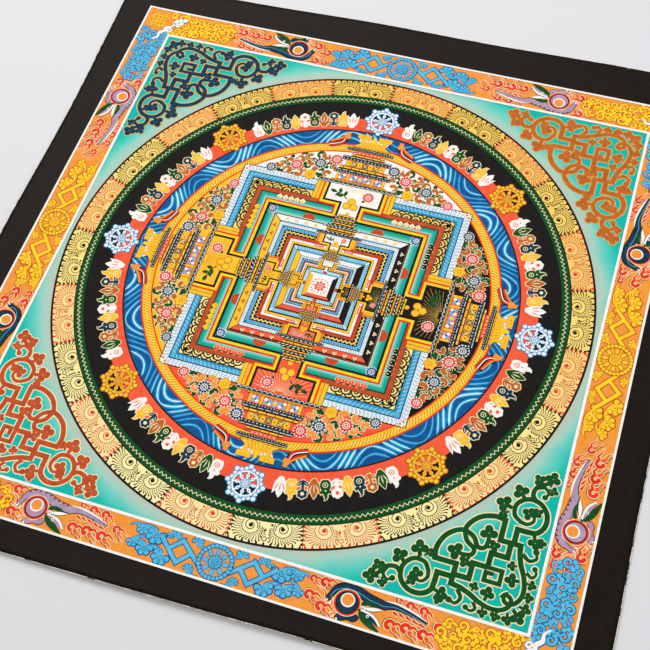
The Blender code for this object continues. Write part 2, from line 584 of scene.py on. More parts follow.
def paintWater():
    # Each half wave is three strokes, one on the other, that fade where they meet the ring's edges
    w = water
    inner, outer = layout["waterRing"]
    low, high = 0.5, outer - inner - 0.5
    s = np.linspace(0, 1, 16)
    for k in range(w["lines"]):
        middle = (low + high) / 2 + (k - (w["lines"] - 1) / 2) * w["step"]
        # Half a wave, from its trough to its crest, cut where it leaves the ring
        ends = np.clip((np.array([low, high]) - middle) / w["tall"], -1, 1)
        if ends[1] - ends[0] < 0.12:
            continue
        phase = np.arcsin(ends[0]) + (np.arcsin(ends[1]) - np.arcsin(ends[0])) * s
        y = middle + w["tall"] * np.sin(phase)
        near = np.clip(np.minimum(y - low, high - y) / 2.5, 0, 1)
        for wave in range(w["waves"]):
            for rising in (1, -1):
                a = (wave + 0.25 * rising + 0.25 + rising * phase / (2 * np.pi)) * 2 * np.pi / w["waves"]
                bold = 0.75 + 0.3 * np.sin(2 * a + k)
                a = a + 0.03 * np.sin(3 * a)
                path = np.stack([(inner + y) * np.sin(a), (inner + y) * np.cos(a)], -1)
                for pigment, layer, width, faint in (
                    ("azure", 3, 3.5, 0), ("sky", 4, 1.7, 0.36), ("ice", 5, 1.0, 0.56),
                ):
                    shown = np.clip(width * near * (bold - faint) / (1 - faint), 0.06, None)
                    lay(pigment, layer, stroke(path, shown), innerPlace)


# Wheels: a ringed hub, eight short spokes with a bulb each, a beaded rim, and three knobs beyond
# each spoke, with the ground left open between the hub and the rim
wheel = {
    "radius": 157.4, "hub": 3.7, "rim": 9.0, "rimWidth": 1.6, "beads": 32, "bead": 1.0, "knob": 1.75,
    "reach": 12.3, "spokes": 8, "bulb": 1.25, "bulbAt": 5.7,
}


def paintWheel(body, ink, light, layer, *places):
    # The whole wheel is drawn in ink a little larger, then in its own colour, then finely inked
    w = wheel
    r, hub, bead, reach = w["rim"], w["hub"], w["bead"], w["reach"]
    knobs = spots((0, -2.5, 2.5), (reach, reach - 2.1, reach - 2.1), 0, (1, 0.85, 0.85))
    spokes, beads = around(w["spokes"], 0), around(w["beads"], r)
    for pigment, grow, step in ((ink, 0.5, layer), (body, 0, layer + 1)):
        lay(pigment, step, dab(w["knob"] + grow), knobs, spokes, *places)
        hoop(pigment, step, r, w["rimWidth"] + 2 * grow, 49, *places)
        lay(pigment, step, dab(bead + grow, 5), beads, *places)
        lay(pigment, step, stroke(line((0, hub - 0.4), (0, r), n=3), 1.1 + grow), spokes, *places)
        lay(pigment, step, dab(w["bulb"] + 0.6 * grow), spots(0, w["bulbAt"]), spokes, *places)
        lay(pigment, step, dab(hub + grow, 11), *places)
    # Ink round every knob and bead, and rings and petals on the hub
    hoop(ink, layer + 2, w["knob"], 0.34, 13, knobs, spokes, *places)
    lay(ink, layer + 2, stroke(arc(bead, 0, 180, 6), 0.3), beads, *places)
    lay(ink, layer + 2, dab(0.45, 5), spots(0, w["bulbAt"]), spokes, *places)
    for radius in (0.8, 2.0, hub - 0.5):
        hoop(ink, layer + 2, radius, 0.5, 25, *places)
    straight(ink, layer + 2, (0, 2.0), (0, hub - 0.5), 0.5, around(8, 0), *places)
    lay(light, layer + 3, dab(0.85, 5), knobs, spokes, *places)


def paintWheels():
    # Four pale blue wheels on the painting's axes and four gold ones between them
    paintWheel("chalkWhite", "azure", "ice", 6, around(4, wheel["radius"]))
    paintWheel("amber", "sienna", "lemon", 6, around(4, wheel["radius"], start=45))


# Jewels and flowers stand between the wheels, in five colours by turns and three shapes: a pointed
# jewel with a flame at its tip, a bud of three petals, and a round flower over two leaves
jewel = {
    "radius": 148.6, "inSector": 11, "pitch": 2.8, "high": 13.0,
    "colours": ("chalkWhite", "bottleGreen", "sienna", "indigo", "amber"),
    "wide": (4.0, 6.2, 7.2, 7.2, 6.0, 4.4, 3.2, 2.0, 0.9),
}


def paintJewel(kind, pigment, places):
    # Each shape is drawn twice, first larger and in the rim's colour, with its ink on top
    light = pigment == "chalkWhite"
    rim, ink = ("chalkWhite", "coral") if light else ("cream", "cream")
    high, wide = jewel["high"], np.array(jewel["wide"])
    for grow, layer, colour in ((1.1, 5, rim), (0, 6, pigment)):
        half = grow / 2
        if kind == 0:
            flame = curve((-0.4, high - 2.4), (-0.2, high), (1.4, high + 1.6), n=4)
            shapes = (
                (stroke(line((0, -half), (0, high + half), n=len(wide)), wide + grow), centre),
                (stroke(flame, (2.0 + grow) * fitted("tail", flame) + half), centre),
                (dab(1.3 + half, 5), spots((-2.7, 2.7), high - 4.4)),
            )
        elif kind == 1:
            shapes = (
                (petal(high + grow, 4.6 + grow), spots(0, -half)),
                (petal(high - 2.4 + grow, 3.9 + grow, "drop"), spots(0, 0.2, (24, -24))),
                (dab(1.9 + half), spots(0, 0.8)),
            )
        else:
            shapes = (
                (put(dab(1.45 + half), around(6, 2.1)), spots(0, high - 3.4)),
                (stroke(line((0, -half), (0, high - 4)), 1.7 + grow), centre),
                (petal(5.4 + grow, 2.7 + grow), spots(0, 0.4, (46, -46))),
            )
        for shape, where in shapes:
            lay(colour, layer, shape, where, places)
    if kind == 0:
        hoop(ink, 7, 1.7, 0.5, 11, spots(0, 3.6), places)
        lay(ink, 7, dab(0.6, 5), spots((0, 0), (3.6, 7.6)), places)
    elif kind == 1:
        lay(ink, 7, petal(6.4, 0.7, start=3.0), spots(0, 0, (-22, 0, 22)), places)
    else:
        lay(ink, 7, dab(1.3), spots(0, high - 3.4), places)
        lay(ink, 7, petal(3.4, 0.5, start=1.4), spots(0, 0.4, (46, -46)), places)


def paintJewels():
    # Eleven places in each of the eight sectors, evenly about its middle, colour and shape by turns
    j = jewel
    index = np.arange(j["inSector"])
    turns = 22.5 - (index - index[-1] / 2) * j["pitch"]
    for k, pigment in enumerate(j["colours"]):
        for kind in range(3):
            mine = (index % 5 == k) & (index % 3 == kind)
            if mine.any():
                a = (turns[mine][:, None] + np.arange(8) * 45).ravel()
                x, y = -j["radius"] * np.sin(np.radians(a)), j["radius"] * np.cos(np.radians(a))
                paintJewel(kind, pigment, spots(x, y, a))


# The garden between the palace and the rope ring: one ground a side, with rosettes, buds and leaves.
# A flower's place is an angle from the side's middle and a radius. The archway's outline is the
# distances from the centre at which it is measured, and its half width there
garden = {
    "rosettes": ((11.6, 115.2), (17.9, 111.6), (27.4, 113.0), (37.2, 116.6)), "blossom": (22.6, 101.8),
    "leaves": (4.8, 4.1), "petals": 12, "curls": ("sienna", "sienna", "orange", "sienna"),
    "archway": (
        (91, 94.2, 96, 103, 106, 114, 117, 123, 126), (33, 31, 20, 24, 18, 18, 22, 13, 20),
    ),
}
sideGrounds = ("chalkWhite", "amber", "coral", "lampBlack")  # at the back, left, front and right
palaceHalf = 90.8


def paintRosette(ink, light, layer, *places):
    # Two rounds of petals about a ringed heart, on a white ground
    lay("chalkWhite", layer, dab(5.0, 11), *places)
    hoop(light, layer + 1, 3.3, 1.1, 25, *places)
    lay(ink, layer + 2, petal(2.5, 1.8, start=2.4), around(garden["petals"], 0), *places)
    hoop(ink, layer + 2, 1.7, 0.65, 15, *places)
    lay(ink, layer + 2, dab(0.8, 5), *places)


def paintLeaf(pigment, layer, *places):
    # A fat comma that curls round on itself, edged in cream
    inked(pigment, "cream", layer, arc(1.8, 215, -70, 11), 3.1 * taper("comma", 11), 0.34, *places)


def paintBlossom(layer, *places):
    # Six round amber petals about a rust heart
    lay("rust", layer, dab(2.1), around(6, 2.9), *places)
    lay("amber", layer + 1, dab(1.75), around(6, 2.9), *places)
    lay("lemon", layer + 1, dab(2.0), *places)
    hoop("rust", layer + 2, 1.3, 0.4, 13, *places)


def paintGarden():
    # The grounds, the flowers, then leaves wherever there is room
    g = garden
    radius = layout["ropeRing"][0] + 0.4
    inner = palaceHalf - 4
    for side, ground in enumerate(sideGrounds):
        top = line((-inner, inner), (inner, inner), n=41)
        lay(ground, 1, between(top, arc(radius, 135, 45, 41)), fourSides[side], innerPlace)
    angle, r = np.transpose([*g["rosettes"], g["blossom"]])
    flowers = np.stack([r * np.sin(np.radians(angle)), r * np.cos(np.radians(angle))], -1)
    for mirror in (1, -1):
        for k, (x, y) in enumerate(flowers[:-1]):
            # The two colours take turns all along a side
            colours = ("vermilion", "rose") if (k + (mirror > 0)) % 2 == 0 else ("indigo", "ice")
            paintRosette(*colours, 9, spots(mirror * x, y, 0, 0.86 if k == 3 else 1), palaceSides)
    paintBlossom(9, spots(*flowers[-1]), palaceHalves)
    # Leaves stand in staggered rows wherever the ring, the archway and the flowers leave room
    across, up = g["leaves"]
    x, y = np.meshgrid(np.arange(10, 84, across), np.arange(palaceHalf + 3.0, radius - 2, up))
    x = (x + across / 2 * (np.arange(len(x)) % 2)[:, None]).ravel()
    y = y.ravel()
    room = np.stack([x, y], -1)[:, None] - flowers
    beside = x > np.interp(y, *g["archway"]) + 1.5
    free = (np.hypot(x, y) < radius - 2.5) & beside & (np.hypot(*room.T).min(0) > 5.1)
    x, y = x[free], y[free]
    k = np.arange(len(x))
    leaves = spots(x, y, 137.5 * k, 1.26 + 0.14 * np.sin(2.4 * k))
    for side, curl in enumerate(g["curls"]):
        for turn, pigment in enumerate(("bottleGreen", curl)):
            paintLeaf(pigment, 3 + 2 * turn, leaves[k % 2 == turn], palaceHalves[side])


# The three palaces, one inside the other. A band has its inner and outer half size and its colours
# on the four sides, and the wall of three lines turns out round a gate on every side
palaces = [
    {
        "bands": [
            (85.1, 90.8, "ice"), (80.1, 85.1, "sky"), (74.4, 80.1, "leafGold"), (70.0, 74.4, "rust"),
            (64.2, 70.0, "tealFade"), (53.0, 60.2, "tealFade"), (46.7, 53.0, sideGrounds),
        ],
        "line": 60.5, "neck": 8.2, "foot": 74.8, "head": 21.7, "top": 91.0,
        "steps": (("lampBlack", -0.2, 1.8), ("lemon", 1.7, 2.0), ("vermilion", 3.4, 1.3)),
        "pillar": (25.6, 31.3),
    },
    {
        "bands": [
            (43.5, 46.7, "ice"), (40.4, 43.5, "azure"), (37.2, 40.4, "lampBlack"), (34.7, 37.2, "rust"),
            (30.3, 34.7, "chalkWhite"), (26.2, 29.6, "ice"), (21.6, 26.2, sideGrounds),
        ],
        "line": 30.0, "neck": 3.9, "foot": 37.4, "head": 10.1, "top": 44.6,
        "steps": (
            ("lampBlack", -0.15, 1.2), ("lemon", 1.0, 1.1), ("orange", 1.8, 0.6), ("vermilion", 4.4, 0.7),
        ),
        "pillar": (12.2, 15.4),
    },
    {
        "bands": [
            (19.7, 21.6, "ice"), (17.9, 19.7, "azure"), (16.9, 17.9, "rust"), (15.5, 16.9, "chalkWhite"),
            (11.0, 14.0, "ice"), (7.2, 11.0, sideGrounds),
        ],
        "line": 14.1, "neck": 1.4, "foot": 17.2, "head": 4.2, "top": 21.6,
        "steps": (("lampBlack", 0, 0.75), ("lemon", 0.75, 0.7), ("vermilion", 1.4, 0.5)),
        "pillar": (5.6, 7.2),
    },
]


def paintPalaces():
    # Mitred bands with their edges, the gates in T shape with stepped walls, and the pillars
    for palace in palaces:
        for inner, outer, pigment in palace["bands"]:
            colours = (pigment,) * 4 if isinstance(pigment, str) else pigment
            for side, colour in enumerate(colours):
                lay(colour, 2, band(inner, outer), palaceSides[side])
            edge = 0.3 + 0.006 * outer
            straight("lampBlack", 4, (-outer, outer), (outer, outer), edge, palaceSides)
            if inner > 8:  # no line is drawn round the white centre
                straight("lampBlack", 4, (-inner, inner), (inner, inner), 0.7 * edge, palaceSides)
        foot, head, neck, top, low = (palace[part] for part in ("foot", "head", "neck", "top", "line"))
        for side, ground in enumerate(sideGrounds):
            lay(ground, 6, bar(-neck, neck, low - 1, foot), palaceSides[side])
            lay(ground, 6, bar(-head, head, foot - 0.1, top), palaceSides[side])
        for pigment, out, width in palace["steps"]:
            wall = line(
                (head + out, top), (head + out, foot - out), (neck + out, foot - out),
                (neck + out, low + out), (low + out, low + out), (low + out, neck + out),
                (foot - out, neck + out), (foot - out, head + out), (top, head + out),
            )
            lay(pigment, 6, stroke(wall, width), palaceSides)
        # The pillars at each side of a gate, with a groove and a dark edge
        inner, outer = palace["pillar"]
        wide = outer - inner
        foot -= palace["steps"][1][2] * 0.5
        groove = inner + wide * 0.45
        lay("amber", 5, bar(inner - 0.6, outer, foot, top), palaceHalves)
        straight("sienna", 6, (groove, foot), (groove, top), 0.09 * wide, palaceHalves)
        straight("lampBlack", 6, (outer, foot), (outer, top), 0.06 * wide, palaceHalves)
    lay("chalkWhite", 3, bar(-7.4, 7.4, -7.4, 7.4), palaceSides[0])


# Fine work on the palace's bands: each row repeats a small motif between a near and a far x on
# both halves of every side. A silk is slanting threads: their colour and layer, half their width and
# height, the brush, and the row's near x, far x, pitch and distance from the centre
silks = (
    ("azure", 3, (1.2, 2.2), 0.3, (32, 81.5, 1.5, 82.6)),
    ("ice", 4, (-1.2, 2.2), 0.3, (32, 81.5, 3.0, 82.6)),
    ("ice", 3, (0.7, 1.4), 0.3, (15.6, 41.5, 1.7, 41.9)),
    ("sky", 3, (-0.7, 1.4), 0.4, (15.6, 41.5, 1.7, 41.9)),
    ("sky", 3, (0.9, 1.3), 0.6, (4.6, 27, 1.9, 27.9)),
    ("azure", 3, (0.9, 1.3), 0.35, (5.3, 27.7, 1.9, 27.9)),
    ("ice", 3, (0.4, 0.7), 0.3, (7.6, 18.6, 1.3, 18.8)),
    ("sky", 3, (0.72, 1.04), 0.5, (1.8, 12, 1.5, 12.5)),
)
# Lines along the bands: colour, layer, near x, distance, brush and which sides have it
bandLines = (
    ("deepBlue", 3, 32, 90.7, 0.4, palaceHalves), ("deepBlue", 5, 32, 85.2, 0.45, palaceHalves),
    ("azure", 4, 32, 81.2, 1.0, palaceHalves), ("sienna", 3, 8, 52.6, 0.4, palaceHalves),
    ("lampBlack", 3, 8, 51.6, 1.3, palaceHalves[2]), ("sky", 3, 8, 47.4, 0.9, palaceHalves[0]),
    ("sky", 3, 1.5, 25.4, 1.1, palaceHalves[0]), ("lampBlack", 3, 1.5, 25.3, 0.8, palaceHalves[2]),
)


def rowPlaces(start, end, pitch, y):
    # Places in the middles of equal steps from start to end, each step about one pitch
    count = max(1, round((end - start) / pitch))
    x = start + (np.arange(count) + 0.5) * (end - start) / count
    return spots(x, y)


def paintPalaceBands():
    # Lines, silks and tassels first, then the fans, buds, rosettes and jewels on them
    for pigment, layer, start, y, width, places in bandLines:
        straight(pigment, layer, (start, y), (y, y), width, places)
    for pigment, layer, (x, y), width, row in silks:
        straight(pigment, layer, (-x, -y), (x, y), width, rowPlaces(*row), palaceHalves)
    # Tassels on the edge of each palace: white curls with a blue line round them
    hook = curve((-1.0, 1.9), (0.5, 2.1), (0.8, 0.4), (-0.5, -1.1), (-0.2, -2.1), n=3)
    for size, width, rim, row in (
        (1, 1.25 * fitted("even", hook, 0.5), 0.28, (32, 89, 2.85, 87.9)),
        (0.56, 0.75, 0.16, (15.6, 45.5, 1.9, 45.1)), (0.32, 0.45, 0.12, (7.6, 21, 1.4, 20.7)),
    ):
        inked("chalkWhite", "azure", 3, hook * size, width, rim, rowPlaces(*row), palaceHalves)
    # Gold fans ringed in black, one row before the other
    for low, shift, layer in ((76.3, 3.7, 3), (74.5, 0, 5)):
        fans = rowPlaces(32.5 + shift, 77.5, 7.4, low)
        lay("leafGold", layer, halfDisc(3.8, 11), fans, palaceHalves)
        for radius in (1.2, 3.4):
            lay("lampBlack", layer + 1, stroke(arc(radius, 0, 180, 9), 0.95), fans, palaceHalves)
    # Buds on teal
    buds = rowPlaces(34, 57, 4.6, 65.6)
    for places, pigment, ink in zip(
        palaceHalves, ("cream", "lemon", "coral", "lampBlack"), ("sienna", "sienna", "cream", "cream"),
    ):
        lay(ink, 3, petal(5.4, 5.0), buds, places)
        lay(pigment, 4, petal(4.8, 4.3, start=0.3), buds, places)
        lay(pigment, 4, dab(1.1), buds + (0, 3.0, 0, 0), places)
        lay(ink, 5, petal(2.0, 0.6, start=0.9), buds, places)
    # Corner rosettes and half suns on the inner teal
    for size, corner, layer in ((0.84, 56.6, 3), (0.32, 12.6, 4)):
        paintRosette("deepBlue", "sky", layer, spots(0, 0, 0, size), spots(corner, corner), palaceSides)
    sun = spots(27, 54.2)
    lay("rust", 4, halfDisc(4.6, 13), sun, palaceHalves)
    for radius, n in ((4.6, 13), (2.2, 9)):
        lay("vermilion", 5, stroke(arc(radius, 0, 180, n), 0.6), sun, palaceHalves)
    # Trios of jewels on the coloured floor, and small gold arches on the second palace's black band
    trio = spots((-0.9, 0.9, 0), (-0.4, -0.4, 0.9))
    for places, ink in zip(palaceHalves, ("amber", "rust", "cream", "cream")):
        lay(ink, 3, dab(0.75, 5), trio, rowPlaces(16, 46, 7.4, 49.8), places)
    for low, facing, shift in ((37.4, 0, 0), (40.2, 180, 1.6)):
        fans = rowPlaces(15.8 + shift, 38 + shift, 3.2, low)
        fans[:, 2] = facing
        lay("leafGold", 3, stroke(arc(1.5, 10, 170, 6), 0.5), fans, palaceHalves)
    # Lines down the floors' corners and round them, and the innermost palace's dots and own edges
    for near, far, width in ((46.7, 53, 0.5), (21.6, 26.2, 0.35)):
        straight("lampBlack", 4, (near, near), (far, far), width, palaceSides)
    for y in (21.6, 26.2, 11.0):
        straight("ochre", 4, (0, y), (y, y), 0.3, palaceHalves)
    lay("rust", 4, dab(1.6), spots(0, 12.4), palaceSides)
    straight("sky", 3, (-10.4, 10.5), (10.4, 10.5), 0.6, palaceSides[0])
    straight("lampBlack", 3, (-10.4, 10.4), (10.4, 10.4), 0.9, palaceSides[2])


def paintGateFlowers():
    # Every gate holds jewels, with leaves and a rosette about them, and faint rays from the top
    angle = np.radians(np.linspace(-80, 80, 21))[:, None]
    for palace, size in zip(palaces, (1.0, 0.46, 0.22)):
        top, foot, head, neck = palace["top"], palace["foot"], palace["head"], palace["neck"]
        reach = 0.92 * np.minimum((top - foot) / np.cos(angle), head / np.abs(np.sin(angle) + 1e-6))
        r = reach * np.linspace(0.15, 1, 4)
        fan = np.stack([r * np.sin(angle), -r * np.cos(angle)], -1)
        for side, ink in enumerate(("cream", "orange", "cream", "ochre")):
            lay(ink, 7, stroke(fan, 0.24 * size), spots(0, top), palaceSides[side])
        jewels = spots(size * np.array([-2.9, 2.9, 0]), foot + size * np.array([-2.0, -2.0, 2.6]))
        lay("sienna", 8, dab(3.2 * size), jewels, palaceSides)
        lay("amber", 9, dab(2.7 * size), jewels, palaceSides)
        lay("lemon", 10, dab(1.1 * size), jewels + (0, 0.6 * size, 0, 0), palaceSides)
        if size > 0.3:
            # A sprig of pointed leaves on one side, and a rosette over one leaf on the other
            here = spots(0, foot, 0, size)
            stem = curve((-4.4, 4.2), (-8.6, 7.6), (-14.2, 8.8), n=4)
            leaves = spots((-7.2, -7.6, -10.8, -11.0, -13.8, 7.4), (6.6, 7.0, 8.4, 8.2, 8.8, 4.0),
                           (-12, 108, 12, 132, 78, -38), (1, 1, 1, 0.9, 1.1, 1))
            lay("bottleGreen", 8, stroke(stem, 0.8), here, palaceSides)
            lay("bottleGreen", 8, petal(4.8, 2.7), leaves, here, palaceSides)
            paintRosette("vermilion", "rose", 9, spots(11.0, 9.4, 0, 0.9), here, palaceSides)
            # The sill in the gate's neck
            wide, low, high, ledge = 0.8 * neck, foot - 12.5 * size, foot - 10.4 * size, foot - 10.6 * size
            lay("amber", 8, bar(-wide, wide, low, high), palaceSides)
            straight("sienna", 9, (-wide, ledge), (wide, ledge), 0.3, palaceSides)
            lay("amber", 8, dab(1.7 * size), spots(0, foot - 8.9 * size), palaceSides)
    # The heart of the painting: a ringed rosette of eight petals on white, framed by small petals
    heart = palaceSides[0]
    lay("rose", 4, petal(3.2, 2.4, start=1.5), around(8, 0), heart)
    lay("vermilion", 5, petal(2.4, 1.3, start=1.9), around(8, 0), heart)
    lay("vermilion", 5, dab(0.6, 5), around(4, 6.4, start=45), heart)
    lay("vermilion", 5, petal(1.5, 0.8, start=5.0), spots((-2.6, 0, 2.6), 0), palaceSides)
    lay("rose", 6, dab(1.6, 9), heart)
    hoop("vermilion", 7, 1.2, 0.35, 19, heart)


# The archway over each gate is a stack of painted beams. A beam has its low and high distance from
# the centre, its half width, its ground and its pattern
archways = [
    [(91.2, 94.0, 31.0, "indigo", "scallops"), (94.0, 95.4, 21.7, "orange", "edge"),
     (95.4, 102.0, 19.4, "coral", "flowers"), (102.0, 104.0, 22.4, "indigo", "pearls"),
     (104.0, 105.8, 22.4, "indigo", "dashes"), (105.8, 109.0, 19.4, "orange", "edge"),
     (109.0, 114.8, 15.6, "orange", "lattice"), (114.8, 117.2, 19.6, "indigo", "pearls"),
     (117.2, 119.0, 19.6, "indigo", "dashes"), (119.0, 121.6, 13.4, "orange", "edge"),
     (121.6, 124.6, 9.4, "coral", "pearls"), (124.6, 126.4, 18.4, "indigo", "pearls"),
     (126.4, 127.6, 18.4, "lampBlack", "dashes"), (127.6, 129.4, 15.0, "orange", "edge")],
    [(44.8, 46.2, 17.6, "indigo", "pearls"), (46.4, 47.8, 14.0, "indigo", "ticks"),
     (47.8, 49.0, 9.6, "coral", "edge"), (49.0, 51.6, 11.2, "orange", "edge"),
     (51.8, 53.2, 14.6, "indigo", "ticks"), (53.4, 54.8, 11.2, "lampBlack", "ticks"),
     (54.8, 57.0, 8.6, "coral", "edge"), (57.2, 58.6, 9.8, "indigo", "ticks"),
     (58.6, 60.8, 7.6, "orange", "edge"), (61.0, 62.2, 9.2, "indigo", "ticks"),
     (62.4, 64.4, 5.6, "amber", "edge")],
    [(22.6, 23.6, 8.4, "indigo", "ticks"), (23.7, 25.2, 6.4, "coral", "edge"),
     (25.3, 26.2, 7.6, "lampBlack", "ticks"), (26.3, 27.4, 5.2, "orange", "edge"),
     (27.5, 28.3, 6.4, "indigo", "ticks"), (28.4, 29.3, 4.2, "coral", "edge"),
     (29.4, 30.2, 5.0, "lampBlack", "ticks"), (30.3, 31.6, 3.0, "amber", "edge")],
]


def paintBeam(low, high, half, ground, pattern):
    # A flat band between two distances from the centre, and its motifs evenly along it
    tall, middle = high - low, (low + high) / 2
    lay(ground, 11, bar(-half, half, low, high), palaceSides)
    if pattern == "edge":
        straight("lemon", 12, (-half, middle), (half, middle), tall * 0.3, palaceSides)
        for y, ink, width in (
            (low + 0.12 * tall, "lampBlack", 0.28), (high - 0.12 * tall, "lampBlack", 0.2),
        ):
            straight(ink, 12, (-half, y), (half, y), width * tall, palaceSides)
            straight("rust", 13, (-0.16 * tall, 0), (0.16 * tall, 0), 0.4 * tall,
                     rowPlaces(0, half, 2.2 * tall, middle), palaceHalves)
    elif pattern == "pearls":
        pitch = max(1.7, tall * 1.15)
        lay("cream", 12, dab(0.2 * tall, 5), rowPlaces(0, half, pitch, middle), palaceHalves)
    elif pattern == "ticks":
        straight("cream", 12, (-0.7 * tall, -0.26 * tall), (0.7 * tall, 0.26 * tall), 0.42 * tall,
                 rowPlaces(0, half, 2.3 * tall, middle), palaceHalves)
    elif pattern == "dashes":
        row = rowPlaces(0, half, 5.0, middle)
        straight("cream", 12, (-2.1, 0), (2.1, 0), 0.26 * tall, row, palaceHalves)
    elif pattern == "scallops":
        scallop = stroke(arc(1.7, 190, 350, 9), 0.4)
        lay("chalkWhite", 12, scallop, rowPlaces(0, half, 3.9, high - 0.8), palaceHalves)
        straight("ochre", 12, (-half, high), (half, high), 0.5, palaceSides)
        lay("ochre", 12, dab(0.4, 5), rowPlaces(1.95, half, 3.9, low + 0.6), palaceHalves)
    elif pattern == "flowers":
        for x in (5.4, 14.4):
            # Four round petals in two blues with a green heart
            here = spots(x, middle)
            lay("chalkWhite", 12, dab(1.3), spots((-1.5, 1.5), (1.4, -1.4)), here, palaceHalves)
            lay("sky", 12, dab(1.3), spots((1.5, -1.5), (1.4, -1.4)), here, palaceHalves)
            lay("bottleGreen", 13, dab(0.8, 5), here, palaceHalves)
        lozenge = line((-2.8, middle), (0, middle + 2.4), (2.8, middle), (0, middle - 2.4), (-2.8, middle))
        lay("sky", 12, stroke(lozenge, 0.8), palaceSides)
        lay("lemon", 12, dab(1.5), spots(0, middle), palaceSides)
        lay("amber", 12, bar(-0.9, 0.9, low, high), spots((9.8, 18.4), 0), palaceHalves)
    elif pattern == "lattice":
        hearts = spots((4.4, 13.0), middle)
        lay("lemon", 12, dab(1.1), around(4, 1.1), hearts, palaceHalves)
        lay("rust", 13, dab(0.8, 5), hearts, palaceHalves)
        cross = line((-2.6, low + 0.8), (2.6, high - 0.8))
        for x in (0.0, 8.8):
            here = spots(x, 0)
            lay("lampBlack", 12, bar(-2.6, 2.6, low + 0.5, high - 0.5), here, palaceHalves)
            for lean, pigment in ((1, "amber"), (-1, "cream")):
                for shift in (-0.8, 0, 0.8):
                    thread = stroke(cross * (0.75 * lean, 1) + (shift, 0), 0.34)
                    lay(pigment, 13, thread, here, palaceHalves)
            lay("amber", 13, dab(0.9, 5), spots(0, middle), here, palaceHalves)


# The crest over the outermost archway: a stepped foot, two cups on pale stems, and a jar between
# them. At each side stands a larger jar, with a striped streamer curling down from it
crest = {
    "foot": (129.2, 131.4, 133.6, 136.0), "footWidths": (29, 8), "rib": (129.6, 134.2), "ribLean": 0.62,
    "plumes": (4.0, 7.0, 11.4), "stemWidths": (4.4, 2.8, 2.4, 3.0, 4.8),
    "cups": ((5.0, 8.4, 11.8), (138.8, 138.0, 138.8)), "jarWidths": (2.2, 3.6, 4.4, 4.0, 2.4, 2.0, 3.0),
    "sideJarWidths": (3.6, 5.0, 5.6, 4.6, 3.2, 2.6, 3.4),
    "stripes": (
        ("lampBlack", 11, 6.6, 0), ("orange", 12, 1.4, 2.3), ("vermilion", 12, 1.1, 1.1),
        ("lampBlack", 12, 1.0, 0), ("chalkWhite", 12, 0.8, -0.7), ("vermilion", 12, 1.2, -2.0),
    ),
}


def paintArchways():
    # Every archway's beams from the lowest up, then the crest of the outermost one
    for beams in archways:
        for beam in beams:
            paintBeam(*beam)
    c = crest
    foot = line(*((0, y) for y in c["foot"]), n=3)
    footWidths = np.interp(foot[:, 1], (c["foot"][0], c["foot"][-1]), c["footWidths"])
    inked("amber", "sienna", 11, foot, footWidths, 0.35, palaceSides)
    low, high = c["rib"]
    for x in range(-9, 10, 3):
        straight("sienna", 13, (x, low), (x * c["ribLean"], high), 0.28, palaceSides)
    for lean in c["plumes"]:
        plume = curve((lean * 0.7, 133), (lean * 0.9, 136), (lean, 138.4), n=4)
        lay("chalkWhite", 10, stroke(plume, 2.4), palaceHalves)
    stem = line((8.2, 132.6), (8.6, 138.0), n=5)
    inked("amber", "sienna", 12, stem, c["stemWidths"], 0.3, palaceHalves)
    cups = spots(*c["cups"])
    lay("sienna", 13, dab(2.2), cups, palaceHalves)
    lay("amber", 14, dab(1.9), cups, palaceHalves)
    inked("amber", "sienna", 14, line((3.0, 140.6), (13.8, 140.6)), 1.5, 0.25, palaceHalves)
    jar = line((0, 134.6), (0, 140.2), n=7)
    inked("lemon", "sienna", 12, jar, c["jarWidths"], 0.3, palaceSides)
    for pigment, layer, width, shift in c["stripes"]:
        streamer = curve(
            (23.2 + shift * 0.6, 135.6), (25.6 + shift * 0.8, 130.6 + shift), (33.6, 126.8 + shift * 1.1),
            n=7,
        )
        lay(pigment, layer, stroke(streamer, width), palaceHalves)
    jar = line((22.0, 134.4), (21.4, 140.8), n=7)
    inked("orange", "sienna", 13, jar, c["sideJarWidths"], 0.35, palaceHalves)


# Corner ornaments: key frets and cloud scrolls, drawn on one side of the corner's diagonal and
# mirrored. Here x runs from the frame's corner along one edge and y runs in from that edge
corner = {
    "wide": 3.6, "rim": 0.8, "lobe": 2.7,
    "colours": (("bottleGreen", "cream"), ("indigo", "ochre"), ("sienna", "ochre"), ("rust", "cream")),
}


